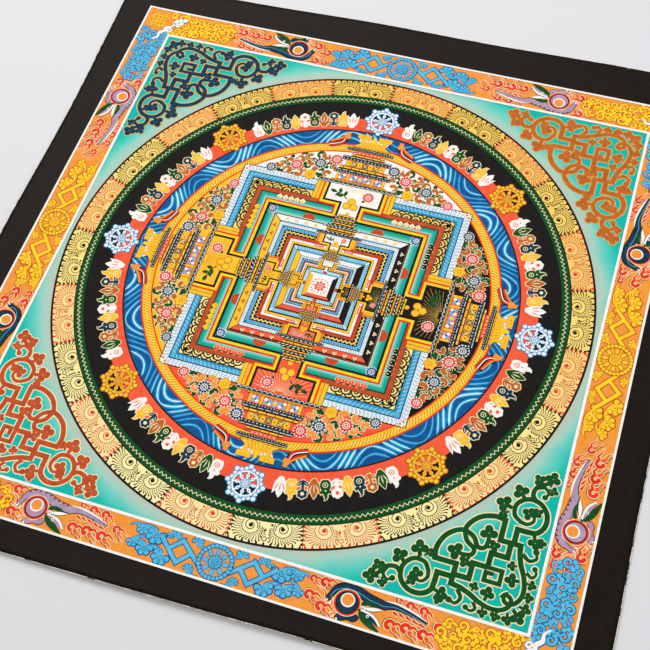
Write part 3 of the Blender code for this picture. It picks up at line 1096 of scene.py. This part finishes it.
def paintCornerHalf(pigment, rim, *places):
    # Key fret, vines and cloud heads from the corner outward, each with its rim beneath it
    c = corner
    w, e = c["wide"], c["rim"]

    def vine(path, width, end=1.0):
        # A rimmed stroke whose width changes evenly to its end's share
        inked(pigment, rim, 3, path, width * np.linspace(1, end, len(path)), e, *places)

    def curl(path, width):
        # A vine that thins away to a round lobe
        vine(path, width, 0.65)
        inkedDab(pigment, rim, 3, 0.75 * width, e, spots(*path[-1]), *places)

    def sprouts(*rows):
        # Cloud heads of three round lobes on a short stem
        here = spots(*np.transpose(rows))
        for extra, colour, layer in ((e, rim, 3), (0, pigment, 4)):
            lay(colour, layer, stroke(line((0, -5.2), (0, 0.6), n=3), 2.8 + 2 * extra), here, *places)
            lay(colour, layer, dab(c["lobe"] + extra), spots((-3.1, 0, 3.1), (0, 3.5, 0)), here, *places)

    # The fret's stairs out from the key, and the loop that laces with its mirror image
    vine(line((33, 33), (42.5, 33), (42.5, 22.6), (54.2, 22.6)), w)
    vine(line((52.4, 15), (52.4, 29.6), (68.0, 29.6)), w)
    vine(curve((66.1, 28), (66.9, 37), (63.0, 46.4), (54.6, 52.2), (46.5, 50.0), (42.2, 44.2), (37.8, 45.0),
               (36.6, 50.6)), w, 0.8)
    sprouts((37.4, 54.2, -12, 1.0), (32.8, 47.2, 65, 0.75))
    # The round scroll further along, coiled inward, with its cloud heads
    vine(line((52.4, 20.9), (62.4, 20.9), (62.4, 13.6)), w)
    vine(curve((62.4, 15), (63.4, 8.8), (69, 4.8), (77, 5.2), (83.2, 10.6), (84.2, 18.8), (79.0, 25.2),
               (71.6, 25.0), (68.0, 20.4)), w, 0.8)
    curl(curve((68.0, 21), (67.4, 16), (70.4, 12.4), (74.4, 13.0)), 2.8)
    sprouts((74.6, 16.0, -20, 0.8), (76.6, 11.2, -140, 0.62))
    sprouts((76.8, 32.4, -15, 1.0), (87.4, 24.2, -50, 0.95), (70.8, 31.6, 35, 0.6))
    # The tail along the frame, ending in a cloud head
    vine(curve((83.6, 13), (87.6, 16.6), (93.4, 15.6), (96.8, 11.0), (99.0, 8.0)), 3.2, 0.85)
    curl(curve((93, 15.6), (94.6, 10.4), (91.4, 7.4), (88.2, 9.0)), 2.6)
    sprouts((101.4, 6.8, -100, 0.9), (98.8, 14.4, -40, 0.75), (93.6, 4.9, 165, 0.6))
    # The long vine from the corner, and the scrolls between it and the frame
    vine(curve((52.4, 16.5), (46.6, 15.6), (40, 13.4), (33, 10.0), (26, 8.2), (19.6, 8.8), (14.8, 12.4),
               (14.4, 17.4), (18.4, 19.2), (20.6, 16.6)), w, 0.7)
    curl(curve((47.6, 14), (44.4, 9.4), (46.8, 5.2), (51.0, 6.2)), 2.8)
    curl(curve((36.4, 9), (34.2, 5.4), (37.0, 3.2), (40.0, 4.6)), 2.4)
    sprouts((57.2, 8.4, 110, 0.85), (57.4, 4.6, 190, 0.6), (29.4, 4.5, 170, 0.6), (21.2, 4.6, 190, 0.62))
    # Sprays between the vine and the key, and the corner's own cloud heads
    sprouts((38.2, 18.4, 14, 0.58), (29.2, 16.4, 8, 0.82))
    sprouts((13.6, 5.0, 165, 0.7), (8.2, 8.2, 135, 0.9))


def paintCorners():
    # One ornament in each corner of the inner frame, each in its own two colours
    half = layout["innerFrame"][0]
    for k, (pigment, rim) in enumerate(corner["colours"]):
        # Turned so that the ornament's corner meets the frame's: bottom right first, then clockwise back
        turn = (90, 270, 180, 0)[k]
        x, y = ((half, -half), (-half, half), (half, half), (-half, -half))[k]
        place = spots(x, y, turn)
        # The other side of the diagonal is the mirror image, turned a quarter
        both = spots(0, 0, (0, 270), (1, -1))
        paintCornerHalf(pigment, rim, both, place)
        # The key on the diagonal is one open square spiral
        key = line((33, 41.5), (33, 23.6), (24.4, 23.6), (24.4, 33.4), (29.6, 33.4), (29.6, 28.4))
        inked(pigment, rim, 3, key, 2.9, corner["rim"], place)


# The border: a wheel medallion with square lattices and clouds in the middle of each side, two
# coiled dragons among flames, and scrolls at the corners. x runs along the side, y across it
border = {
    "middle": 213.3, "medallion": 10.9, "rim": 0.6, "dragons": ((-88.5, "indigo"), (128.0, "mauve")),
    "middles": (("sky", "deepBlue"), ("lemon", "rust")) * 2,
    "ends": (("lemon", "rust"), ("sky", "deepBlue")) * 2,
    "flames": (
        (-50, -39, -29, -47, -38, -30, 15.5, 24.5, 17, -58, 25),
        (5.6, 5.0, 5.6, -8.8, -9.4, -11.0, 7.0, 2.0, -8.4, -1.6, -8.6),
        (0, 0, 0, -25, -25, -20, 0, 0, 10, -10, 0), (1, 1, 1, 0.8, 0.8, 0.6, 0.95, 0.95, 0.9, 0.8, 0.7),
    ),
    "licks": ((-46, -41.5, -37, -32.5, -28.5), (-0.6, -1.6, -2.6, -3.2, -3.0), (70, 66, 62, 60, 66)),
    "streak": ((9.6, 2.6), (13.4, 0.8), (15.6, -3.4), (21.5, -5.4)),
    "stream": (
        (-21, -2), (-17.6, -5.2), (-13.0, -5.4), (-10.0, -8.6), (-6.6, -9.0), (-5.0, -12.6), (-1.6, -15),
    ),
    "streamCurl": (2.4, 0.9, 1.1, 80, 14, -8.4, -12.6),
    "streamHeads": ((1.6, 3.6, 0.6, 4.4, -1.8), (-15.4, -18.6, -19.8, -22.2, -17.4)),
}


# A cloud's five lobes, by x, y, turn and size, and the points of its tail
cloud = {
    "lobe": 2.1,
    "lobes": ((-4.0, -2.3, 1.2, 4.1, 4.4), (0.2, 3.2, 3.9, 2.0, -1.2), 0, (1, 1.1, 1.1, 1, 0.9)),
    "tail": ((0, -1.2), (4.6, -3.0), (9.0, -3.2), (13.0, -1.2)), "tailWidth": 3.2,
    "heart": 2.7, "heartAt": (0.3, 0.6), "curl": (2.0, 0.5, 1.2, 10, 14, 0.2, 0.8),
}


def paintCloud(pigment, ink, layer, *places):
    # Five lobes round a curl, and a tail that thins away
    c, rim = cloud, border["rim"]
    lobes = spots(*c["lobes"])
    inkedDab(pigment, ink, layer, c["lobe"], rim, lobes, *places)
    hoop(ink, layer + 2, c["lobe"], 0.36, 13, lobes, *places)
    tail = curve(*c["tail"], n=4)
    inked(pigment, ink, layer, tail, c["tailWidth"] * fitted("tail", tail), rim, *places)
    lay(pigment, layer + 3, dab(c["heart"]), spots(*c["heartAt"]), *places)
    lay(ink, layer + 4, stroke(spiral(*c["curl"]), 0.4), *places)


def paintMedallion(pigment, ink, *places):
    # A beaded wheel between two lozenges of laced strips, with clouds about them
    b = border
    r, e = b["medallion"], b["rim"]
    # Two strips lace into a lozenge on each side of the wheel, and run out into clouds
    for path in (
        line((8, 6.4), (24.5, -7.4), (33.0, 0.6), n=3), line((16.4, -1.0), (24.5, 7.6), (39.6, -6.4), n=3),
    ):
        inked(pigment, ink, 4, path, 2.6, e, halves, *places)
    clouds = spots(
        (35.0, 43.0, 47.5, 57.0, 53.0, 15.5, 30.5, 15.5, 34.0),
        (6.4, -6.4, 3.6, 1.8, -8.2, -9.2, -9.4, 9.6, -9.6),
        (-10, 0, 0, 20, 10, 175, 190, 170, 20), (1.0, 1.1, 0.95, -0.7, 0.75, 0.66, 0.6, 0.6, -0.5),
    )
    paintCloud(pigment, ink, 2, clouds, halves, *places)
    # The wheel: a beaded rim, eight leaves on open ground and a beaded hub
    inked(pigment, ink, 6, arc(r, 0, 360, 49), 1.8, e, *places)
    for count, radius, size in ((26, r, 1.4), (12, 3.6, 0.95)):
        beads = around(count, radius)
        lay(ink, 7, dab(size + 0.4, 5), beads, *places)
        lay(pigment, 8, dab(size, 5), beads, *places)
        lay(ink, 9, stroke(arc(size, -70, 110, 7), 0.34), beads, *places)
    leaf = line((0, 4.4), (0, r - 1.6), n=6)
    inked(pigment, ink, 5, leaf, 2.6 * fitted("petal", leaf), 0.35, around(8, 0), *places)
    straight(pigment, 6, (0, 4), (0, r - 1), 0.5, around(8, 0, start=22.5), *places)
    inkedDab(pigment, ink, 7, 2.9, 0.4, *places)
    for radius in (0.9, 2.1):
        hoop(ink, 9, radius, 0.4, 17, *places)


# A flame: its curl's radii, turns, start and count of points, and the points of its two licks
flame = {
    "curl": (2.9, 2.0, 0.68, -170, 14), "curlWidth": 2.5,
    "low": ((-2.6, -0.8), (-5.0, -2.2), (-8.0, -0.4), (-12.4, 0.6)), "lowWidth": 2.2,
    "lick": ((-2.6, 0.6), (-3.8, 2.8), (-6.8, 3.8), (-9.6, 6.8)), "lickWidth": 3.0,
}


def paintFlame(layer, *places):
    # An open curl, two licks that stream up and back from it, and thin dark lines beside them
    f = flame
    curl = spiral(*f["curl"])
    low, lick = (curve(*f[part], n=4) for part in ("low", "lick"))
    for path, width in ((low, f["lowWidth"]), (lick, f["lickWidth"])):
        inked("vermilion", "cream", layer, path, width * fitted("tail", path), 0.45, *places)
    curlWidths = f["curlWidth"] * np.linspace(0.9, 1, len(curl))
    inked("vermilion", "cream", layer, curl, curlWidths, 0.5, *places)
    inkedDab("vermilion", "cream", layer, 1.5, 0.4, spots(*curl[-1]), *places)
    lay("orange", layer + 2, stroke(lick[2:-4], 0.6), *places)
    lay("lampBlack", layer, stroke(lick + (1.9, 1.2), 0.45), *places)
    lay("lampBlack", layer - 1, stroke(arc(4.6, -150, 40, 12), 0.45), *places)


# A dragon's curves, by the points that they pass through. x runs from the tail's end to the claws,
# and the outer edge of the painting is up
dragon = {
    "ink": "lampBlack", "rim": 0.5, "coil": 7.7, "coilBody": 6.7, "ring": 4.6, "jewel": 3.7,
    "trunk": ((-25, -4.6), (-19, -5.6), (-12, -6.6), (-5, -8.8), (3, -9.2), (9, -6.4), (11.2, -1.6)),
    "tail": ((-22, -5.0), (-30, -6.4), (-40, -4.6), (-51, -1.6)),
    "hook": ((11.0, -3.0), (12.4, 0.4), (10.2, 1.2)),
    "hump": ((-8.6, 6.0), (-6.6, 8.8), (-2.6, 8.6), (1.6, 10.4), (4.6, 9.4)),
    "belly": ((-22, -8.0), (-31, -8.2), (-41, -6.2), (-51, -2.6)),
    "mane": ((-8.2, 1.6), (-11.5, 5.6), (-17, 9.0), (-23.6, 12.0)),
    "beard": ((-8.6, -1.6), (-13, -3.4), (-19, -2.2)),
    "upperJaw": ((-10, 1.8), (-15, 3.6), (-19.4, 5.6), (-23.6, 8.6)),
    "lowerJaw": ((-10, 0.2), (-14.4, 0.0), (-18.0, -0.8), (-22.0, -1.6)),
    "claws": (
        (10.4, 12.2, 9.4, 5.6, 7.0, 3.8), (1.6, 0.8, 0.2, 9.2, 8.2, 10.6), (10, -30, 50, -20, -60, 20),
    ),
    "eyes": ((-14.6, -10.4), (4.6, 0.6)),
}


def paintDragon(body, layer, *places):
    # A body coiled round a jewel, a long pointed tail, an open mouth under a mane, and hooked claws
    d = dragon
    ink, rim, coil = d["ink"], d["rim"], d["coil"]
    trunk, tail, hook, mane, beard = (
        curve(*d[part], n=4) for part in ("trunk", "tail", "hook", "mane", "beard")
    )
    hump, belly, upper, lower = (
        curve(*d[part], n=3) for part in ("hump", "belly", "upperJaw", "lowerJaw")
    )
    girth = np.interp(np.linspace(0, 1, len(trunk)), (0, 0.3, 0.75, 1), (0.95, 1.2, 1.15, 0.5))
    for path, width in (
        (trunk, 4.6 * girth), (tail, np.linspace(4.9, 0.4, len(tail))), (hook, 2.4 * fitted("even", hook)),
        (hump, 3.0 * fitted("even", hump, 0.6)),
    ):
        inked(body, ink, layer, path, width, rim, *places)
    lay("chalkWhite", layer + 2, stroke(belly, 1.3 * fitted("petal", belly)), *places)
    spine = np.concatenate([tail[::-1], trunk[2:]])
    lay("sky", layer + 2, stroke(spine + (0, 0.7), 0.35), *places)
    spikes = trunk[3:-4:2] - (0, 2.9)
    lay(ink, layer + 2, petal(1.7, 1.0), spots(spikes[:, 0], spikes[:, 1], -35), *places)
    lay("chalkWhite", layer + 2, petal(2.4, 1.0), spots(*d["claws"]), *places)
    # The coil: a red line edged in cream, the body, a white ring and the jewel
    for pigment, radius, wide, step in (
        ("cream", coil, 2.2, 2), ("vermilion", coil, 1.3, 3), (ink, coil - 0.8, 0.8, 4),
    ):
        hoop(pigment, layer + step, radius, wide, 37, *places)
    lay(body, layer + 4, dab(d["coilBody"], 13), *places)
    lay("chalkWhite", layer + 5, dab(d["ring"], 11), spots(0, -1.7), *places)
    lay("orange", layer + 6, dab(d["jewel"], 11), spots(0, -1.9), *places)
    # Mane, jaws, eyes and whiskers
    lay("bottleGreen", layer + 5, stroke(mane, 4.4 * fitted("petal", mane, 0.25)), *places)
    lay("bottleGreen", layer + 5, stroke(beard, 2.6 * fitted("even", beard)), *places)
    for jaw, wide in ((upper, 3.8), (lower, 2.4)):
        inked("chalkWhite", ink, layer + 5, jaw, wide * fitted("petal", jaw, 0.3), 0.25, *places)
    lay(body, layer + 7, stroke(upper + (0.6, 0.7), 2.2 * fitted("petal", upper)), *places)
    lay("chalkWhite", layer + 8, dab(1.0), spots(*d["eyes"]), *places)
    lay(ink, layer + 9, dab(0.5, 5), spots(*d["eyes"]), *places)
    lay("chalkWhite", layer + 8, stroke(spiral(1.9, 0.8, 1.0, 60, 12, -10.4, 0.6), 0.5), *places)


# The scrolls at the ends of each side of the border, from the first curl's place outward
scroll = {
    "start": 152.6, "pitch": 8.4, "columns": 7, "rows": (7.2, 0.1, -7.2), "reach": (148, 205), "stem": 1.6,
    "curl": (3.1, 1.0, 1.05, 0, 16), "curlWidth": 1.7,
    "lobe": 1.4, "lobes": ((2.6, 4.9, 4.4), (-2.6, -1.2, 1.6)),
}


def paintScrolls(pigment, ink, *places):
    # Three staggered rows of curls with three lobes each, over two winding stems
    c = scroll
    x, y = np.meshgrid(c["start"] + c["pitch"] * np.arange(c["columns"]), c["rows"])
    x = x + np.array([[0], [-c["pitch"] / 2], [0]])
    k = np.arange(x.size)
    curls = spots(x.ravel(), y.ravel(), 137.5 * k, (-1.0) ** k * (1 + 0.16 * np.sin(3 * k)))
    low, high = c["reach"]
    curls = curls[(curls[:, 0] > low) & (curls[:, 0] < high)]
    curl = spiral(*c["curl"])
    s = np.linspace(0, 1, 33)
    for side in (1, -1):
        stem = np.stack([150 + 54 * s, side * (4.0 + 3.4 * np.sin(27 * s + side))], -1)
        inked(pigment, ink, 2, stem, c["stem"], 0.45, *places)
    for step in (0, 1):
        mine = curls[step::2]
        inkedDab(pigment, ink, 3 + 2 * step, c["lobe"], 0.45, spots(*c["lobes"]), mine, *places)
        curlWidths = c["curlWidth"] * np.linspace(1, 0.6, len(curl))
        inked(pigment, ink, 3 + 2 * step, curl, curlWidths, 0.5, mine, *places)


def paintKnot(layer, *places):
    # An endless knot: four lines across four, their ends looped in pairs
    loop = arc(1.7, 0, 180, 9)
    for turn, step in ((0, 0), (90, 1)):
        for path, at in (
            (line((0, -5.6), (0, 5.6)), spots((-5.1, -1.7, 1.7, 5.1), 0)),
            (loop, spots((-3.4, 3.4), 5.6)), (loop, spots((-3.4, 3.4), -5.6, 180)),
        ):
            inked("lemon", "rust", layer + step, path, 1.0, 0.28, at, spots(0, 0, turn), *places)


def paintBorder():
    # Medallions and end scrolls, then the dragons with their flames, then the corners
    b = border
    lane = spots(0, b["middle"])
    for k, ((pigment, ink), (endPigment, endInk)) in enumerate(zip(b["middles"], b["ends"])):
        paintMedallion(pigment, ink, lane, fourSides[k])
        paintScrolls(endPigment, endInk, halves, lane, fourSides[k])
    lick = line((0, 0), (0, 5.2), n=6)
    streak = curve(*b["streak"], n=4)
    for x, body in b["dragons"]:
        place = spots(x, b["middle"])
        paintDragon(body, 4, place, fourSides)
        paintFlame(2, spots(*b["flames"]), place, fourSides)
        lickWidths = 2.2 * fitted("comma", lick)
        inked("vermilion", "cream", 2, lick, lickWidths, 0.45, spots(*b["licks"]), place, fourSides)
        inked("vermilion", "cream", 3, streak, 1.7 * fitted("tail", streak), 0.5, place, fourSides)
    # A knot at every corner, and a white cloud that streams past it
    corners = spots(b["middle"] + 0.8, b["middle"] + 0.8)
    paintKnot(3, corners, fourSides)
    stream, curl = curve(*b["stream"], n=4), spiral(*b["streamCurl"])
    for path, width, rim in ((stream, 3.0 * fitted("petal", stream, 0.45), 0.4), (curl, 1.3, 0.35)):
        inked("chalkWhite", "azure", 6, path, width, rim, corners, fourSides)
    heads = spots(*b["streamHeads"])
    inkedDab("chalkWhite", "azure", 6, 2.2, 0.4, heads, corners, fourSides)
    lay("azure", 8, stroke(arc(2.2, 30, 250, 9), 0.36), heads, corners, fourSides)


# The cloth itself: a closed thin sheet, painted black on top and bare cotton underneath
def meshPiece(name, points, quads, materials, slots=None, across=None):
    # Points in metres and four-sided faces, as one object at the origin, with flat plan coordinates
    # as its texture map and exact doubles merged
    mesh = bpy.data.meshes.new(name)
    mesh.vertices.add(len(points))
    mesh.vertices.foreach_set("co", np.ascontiguousarray(points, np.float32).ravel())
    mesh.loops.add(quads.size)
    mesh.polygons.add(len(quads))
    mesh.polygons.foreach_set("loop_start", np.arange(0, quads.size, 4, dtype=np.int32))
    mesh.polygons.foreach_set("vertices", np.ascontiguousarray(quads, np.int32).ravel())
    if slots is not None:
        mesh.polygons.foreach_set("material_index", slots)
    if across is not None:
        attribute = mesh.attributes.new("across", "FLOAT", "POINT")
        attribute.data.foreach_set("value", np.ascontiguousarray(across, np.float32))
    for material in materials:
        mesh.materials.append(material)
    mesh.update()
    mesh.validate()
    work = bmesh.new()
    work.from_mesh(mesh)
    bmesh.ops.remove_doubles(work, verts=work.verts, dist=2e-7)
    work.to_mesh(mesh)
    work.free()
    mesh.shade_smooth()
    flat = mesh.uv_layers.new(name="OFBake")
    corners = np.zeros(len(mesh.loops), np.int32)
    mesh.loops.foreach_get("vertex_index", corners)
    places = np.zeros(len(mesh.vertices) * 3, np.float32)
    mesh.vertices.foreach_get("co", places)
    places = places.reshape(-1, 3)[corners, :2]
    low, high = places.min(0), places.max(0)
    flat.data.foreach_set("uv", (0.01 + 0.98 * (places - low) / (high - low).max()).ravel())
    piece = bpy.data.objects.new(name, mesh)
    bpy.context.scene.collection.objects.link(piece)
    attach(piece, "root")
    return piece


def gridQuads(rows, columns, first=0):
    # The four corners of every cell of a grid whose points are numbered row by row
    start = first + (np.arange(rows - 1)[:, None] * columns + np.arange(columns - 1)).ravel()
    return np.stack([start, start + 1, start + columns + 1, start + columns], 1)


def cottonMaterial(name, stops, strength):
    # Bare unbleached cotton: dull, with its plain weave standing out
    return paintMaterial(name, {
        "stops": stops, "weave": strength, "uneven": 0.16, "roughness": 0.85, "specular": 0.15,
    })


def makeCloth():
    # The underside follows the solid's, the top is one thickness above it, and a strip joins the rims
    across, up = np.meshgrid(shares, shares)
    low = clothLift(across, up)
    flat = plan - boxMiddle
    n = len(shares)
    under = np.dstack([flat, low]).reshape(-1, 3)
    top = np.dstack([flat, low + cloth["thickness"]]).reshape(-1, 3)
    upQuads = gridQuads(n, n, n * n)
    downQuads = gridQuads(n, n)[:, ::-1]
    index = np.arange(n * n).reshape(n, n)
    rim = np.concatenate([index[0, :-1], index[:-1, -1], index[-1, :0:-1], index[:0:-1, 0]])
    after = np.roll(rim, -1)
    sideQuads = np.stack([rim, after, after + n * n, rim + n * n], 1)
    quads = np.concatenate([upQuads, downQuads, sideQuads])
    slots = np.repeat([0, 1, 1], [len(upQuads), len(downQuads), len(sideQuads)]).astype(np.int32)
    black = paintMaterial("blackGroundOnCotton", {
        "stops": [(0.25, "110B07"), (0.75, "1D140D")], "uneven": 0.22, "weave": 0.6, "roughness": 0.5,
        "specular": 0.08,
    })
    raw = cottonMaterial("unbleachedCotton", [(0.3, "CFC4AE"), (0.7, "E2D9C6")], 1.0)
    return meshPiece("canvas", np.concatenate([under, top]), quads, [black, raw], slots)


# Loose cotton threads along the cut edges: a broken cord of edge yarn, and short frayed ends
fray = {
    "yarn": 0.30, "bits": 100, "kept": 0.86, "sway": 0.25, "inset": 0.15, "ends": 340,
    "endLength": (0.5, 2.6), "endWidth": 0.16, "lean": 0.72, "bend": 0.3,
}


def makeThreads():
    # The yarn wanders by a random walk about the cut and is broken into bits. An end's length grows
    # with the square of a slow wave along the edge, which gathers the ends in clumps
    c, bits, ends = cloth, fray["bits"], fray["ends"]
    side = np.linspace(0, 1, 4 * bits + 1)
    s = np.linspace(0, 1, 4)[None, :, None]
    low, high = fray["endLength"]
    back, left = ((first, -bulge, last) for first, bulge, last in (c["backStray"], c["leftStray"]))
    for start, end, stray, outward in (
        (c["frontLeft"], c["frontRight"], c["frontStray"], (0, -1)),
        (c["frontRight"], c["backRight"], c["rightStray"], (1, 0)),
        (c["backRight"], c["backLeft"], back, (0, 1)),
        (c["backLeft"], c["frontLeft"], left, (-1, 0)),
    ):
        path = edgeCurve(start, end, stray, outward, side) * 1000
        wobble = np.cumsum(randomness.normal(0, 1, len(side))) / 60
        wobble -= np.linspace(0, wobble[-1], len(side))
        path = path + np.outer(np.clip(wobble, -fray["sway"], fray["sway"]) - fray["inset"], outward)
        runs = np.concatenate([path[:-1].reshape(bits, 4, 2), path[4::4][:, None]], 1)
        kept = randomness.random(bits) < fray["kept"]
        width = fray["yarn"] * randomness.uniform(0.6, 1.25, (bits, 1)) * np.ones((1, 5))
        lay("edgeThreads", 2, stroke(runs[kept], width[kept]))
        at = randomness.random(ends)
        clump = 0.5 + 0.5 * np.sin(at * 37 + 2 * np.sin(at * 11))
        root = np.stack([np.interp(at, side, path[:, k]) for k in (0, 1)], -1)
        length = low + (high - low) * clump**2 * randomness.random(ends)
        turn = np.arctan2(outward[1], outward[0]) + fray["lean"] * randomness.normal(0, 1, ends)
        aim = np.stack([np.cos(turn), np.sin(turn)], -1)[:, None]
        bend = np.stack([-aim[..., 1], aim[..., 0]], -1) * randomness.normal(0, fray["bend"], (ends, 1, 1))
        reach = length[:, None, None] * s
        path = root[:, None] + aim * (reach - 0.3) + bend * s * reach
        lay("edgeThreads", 2, stroke(path, fray["endWidth"]))


def makePaintPiece(name, patches, material):
    # Every patch of one pigment as one mesh: quads from each patch's grid, turned to face up, and
    # lifted on to the cloth's own height
    points, quads, across, first = [], [], [], 0
    for group in patches:
        k, n, m = group.shape[:3]
        one = gridQuads(n, m)
        quads.append((np.arange(k)[:, None, None] * n * m + one + first).reshape(-1, 4))
        points.append(group.reshape(-1, 3))
        across.append(np.broadcast_to(np.linspace(0, 1, m), (k, n, m)).ravel())
        first += k * n * m
    points, quads, across = np.concatenate(points), np.concatenate(quads), np.concatenate(across)
    a, b, c, d = (points[quads[:, k], :2] for k in range(4))
    turned = (c - a)[:, 0] * (d - b)[:, 1] - (c - a)[:, 1] * (d - b)[:, 0]
    quads[turned < 0] = quads[turned < 0][:, ::-1]
    plane = points[:, :2] / 1000
    height = clothLift(*sharesAt(plane[:, 0], plane[:, 1])) + cloth["thickness"] + points[:, 2] / 1000
    placed = np.concatenate([plane - boxMiddle, height[:, None]], 1)
    return meshPiece(name, placed, quads, [material], None, across)


paintGrounds()
paintGoldRing()
paintEdgings()
paintWater()
paintWheels()
paintJewels()
print("rings drawn")
paintGarden()
paintPalaces()
paintPalaceBands()
paintGateFlowers()
paintArchways()
print("palace drawn")
paintCorners()
paintBorder()
makeThreads()
print("border drawn")

canvas = makeCloth()
for name, patches in paint.items():
    if name == "edgeThreads":
        material = cottonMaterial("looseCottonThread", [(0.3, "D8D0BE"), (0.7, "F4F0E6")], 0.2)
    else:
        material = paintMaterial(name + "OnCotton", pigments[name])
    makePaintPiece(name, patches, material)
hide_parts("canvas")


# The pale table, the light and the camera
stage = {
    "floor": "D9D9DB", "floorSize": 6.0, "sky": 0.55,
    "key": {"place": (-0.9, 1.3, 1.9), "size": 1.6, "power": 38.0},
    "fill": {"place": (1.5, -0.6, 1.6), "size": 2.0, "power": 10.0},
}


def makeStage():
    # A pale floor, white surroundings and two soft area lamps that aim at the middle
    half = stage["floorSize"] / 2
    corners = np.array([[-half, -half, 0], [half, -half, 0], [half, half, 0], [-half, half, 0]], float)
    mesh = bpy.data.meshes.new("table")
    mesh.from_pydata(corners.tolist(), [], [(0, 1, 2, 3)])
    floor = bpy.data.objects.new("table", mesh)
    bpy.context.scene.collection.objects.link(floor)
    paper = bpy.data.materials.new("paleTable")
    paper.use_nodes = True
    shader = paper.node_tree.nodes["Principled BSDF"]
    shader.inputs["Base Color"].default_value = linear(stage["floor"])
    shader.inputs["Roughness"].default_value = 0.7
    mesh.materials.append(paper)
    world = bpy.data.worlds.new("softRoom")
    world.use_nodes = True
    world.node_tree.nodes["Background"].inputs["Color"].default_value = (1, 1, 1, 1)
    world.node_tree.nodes["Background"].inputs["Strength"].default_value = stage["sky"]
    bpy.context.scene.world = world
    for name in ("key", "fill"):
        spec = stage[name]
        lamp = bpy.data.lights.new(name, "AREA")
        lamp.size = spec["size"]
        lamp.energy = spec["power"]
        light = bpy.data.objects.new(name, lamp)
        light.location = spec["place"]
        light.rotation_euler = (-Vector(spec["place"])).to_track_quat("-Z", "Y").to_euler()
        bpy.context.scene.collection.objects.link(light)


# The camera stands before the near edge, a little to the right, about 60 degrees up. Its place is
# measured from the painting's centre, and its axes are its own right, up and backward directions
view = {
    "place": (0.1799, -0.3868, 0.6965), "right": (0.9481, 0.3107, -0.0668), "up": (-0.2404, 0.8386, 0.4887),
    "back": (0.2079, -0.4474, 0.8699), "lens": 62.51, "sensor": 36.0,
}


def makeCamera():
    # The three axes are the columns of the camera's rotation
    data = bpy.data.cameras.new("camera")
    data.lens = view["lens"]
    data.sensor_width = view["sensor"]
    data.clip_start = 0.01
    camera = bpy.data.objects.new("camera", data)
    axes = np.stack([view["right"], view["up"], view["back"]], 1)
    place = np.array(view["place"]) + (*(-boxMiddle), cloth["thickness"])
    camera.matrix_world = Matrix.Translation(place.tolist()) @ Matrix(axes.tolist()).to_4x4()
    bpy.context.scene.collection.objects.link(camera)
    bpy.context.scene.camera = camera


makeStage()
makeCamera()
bpy.context.scene.view_settings.view_transform = "Standard"
print("scene ready")
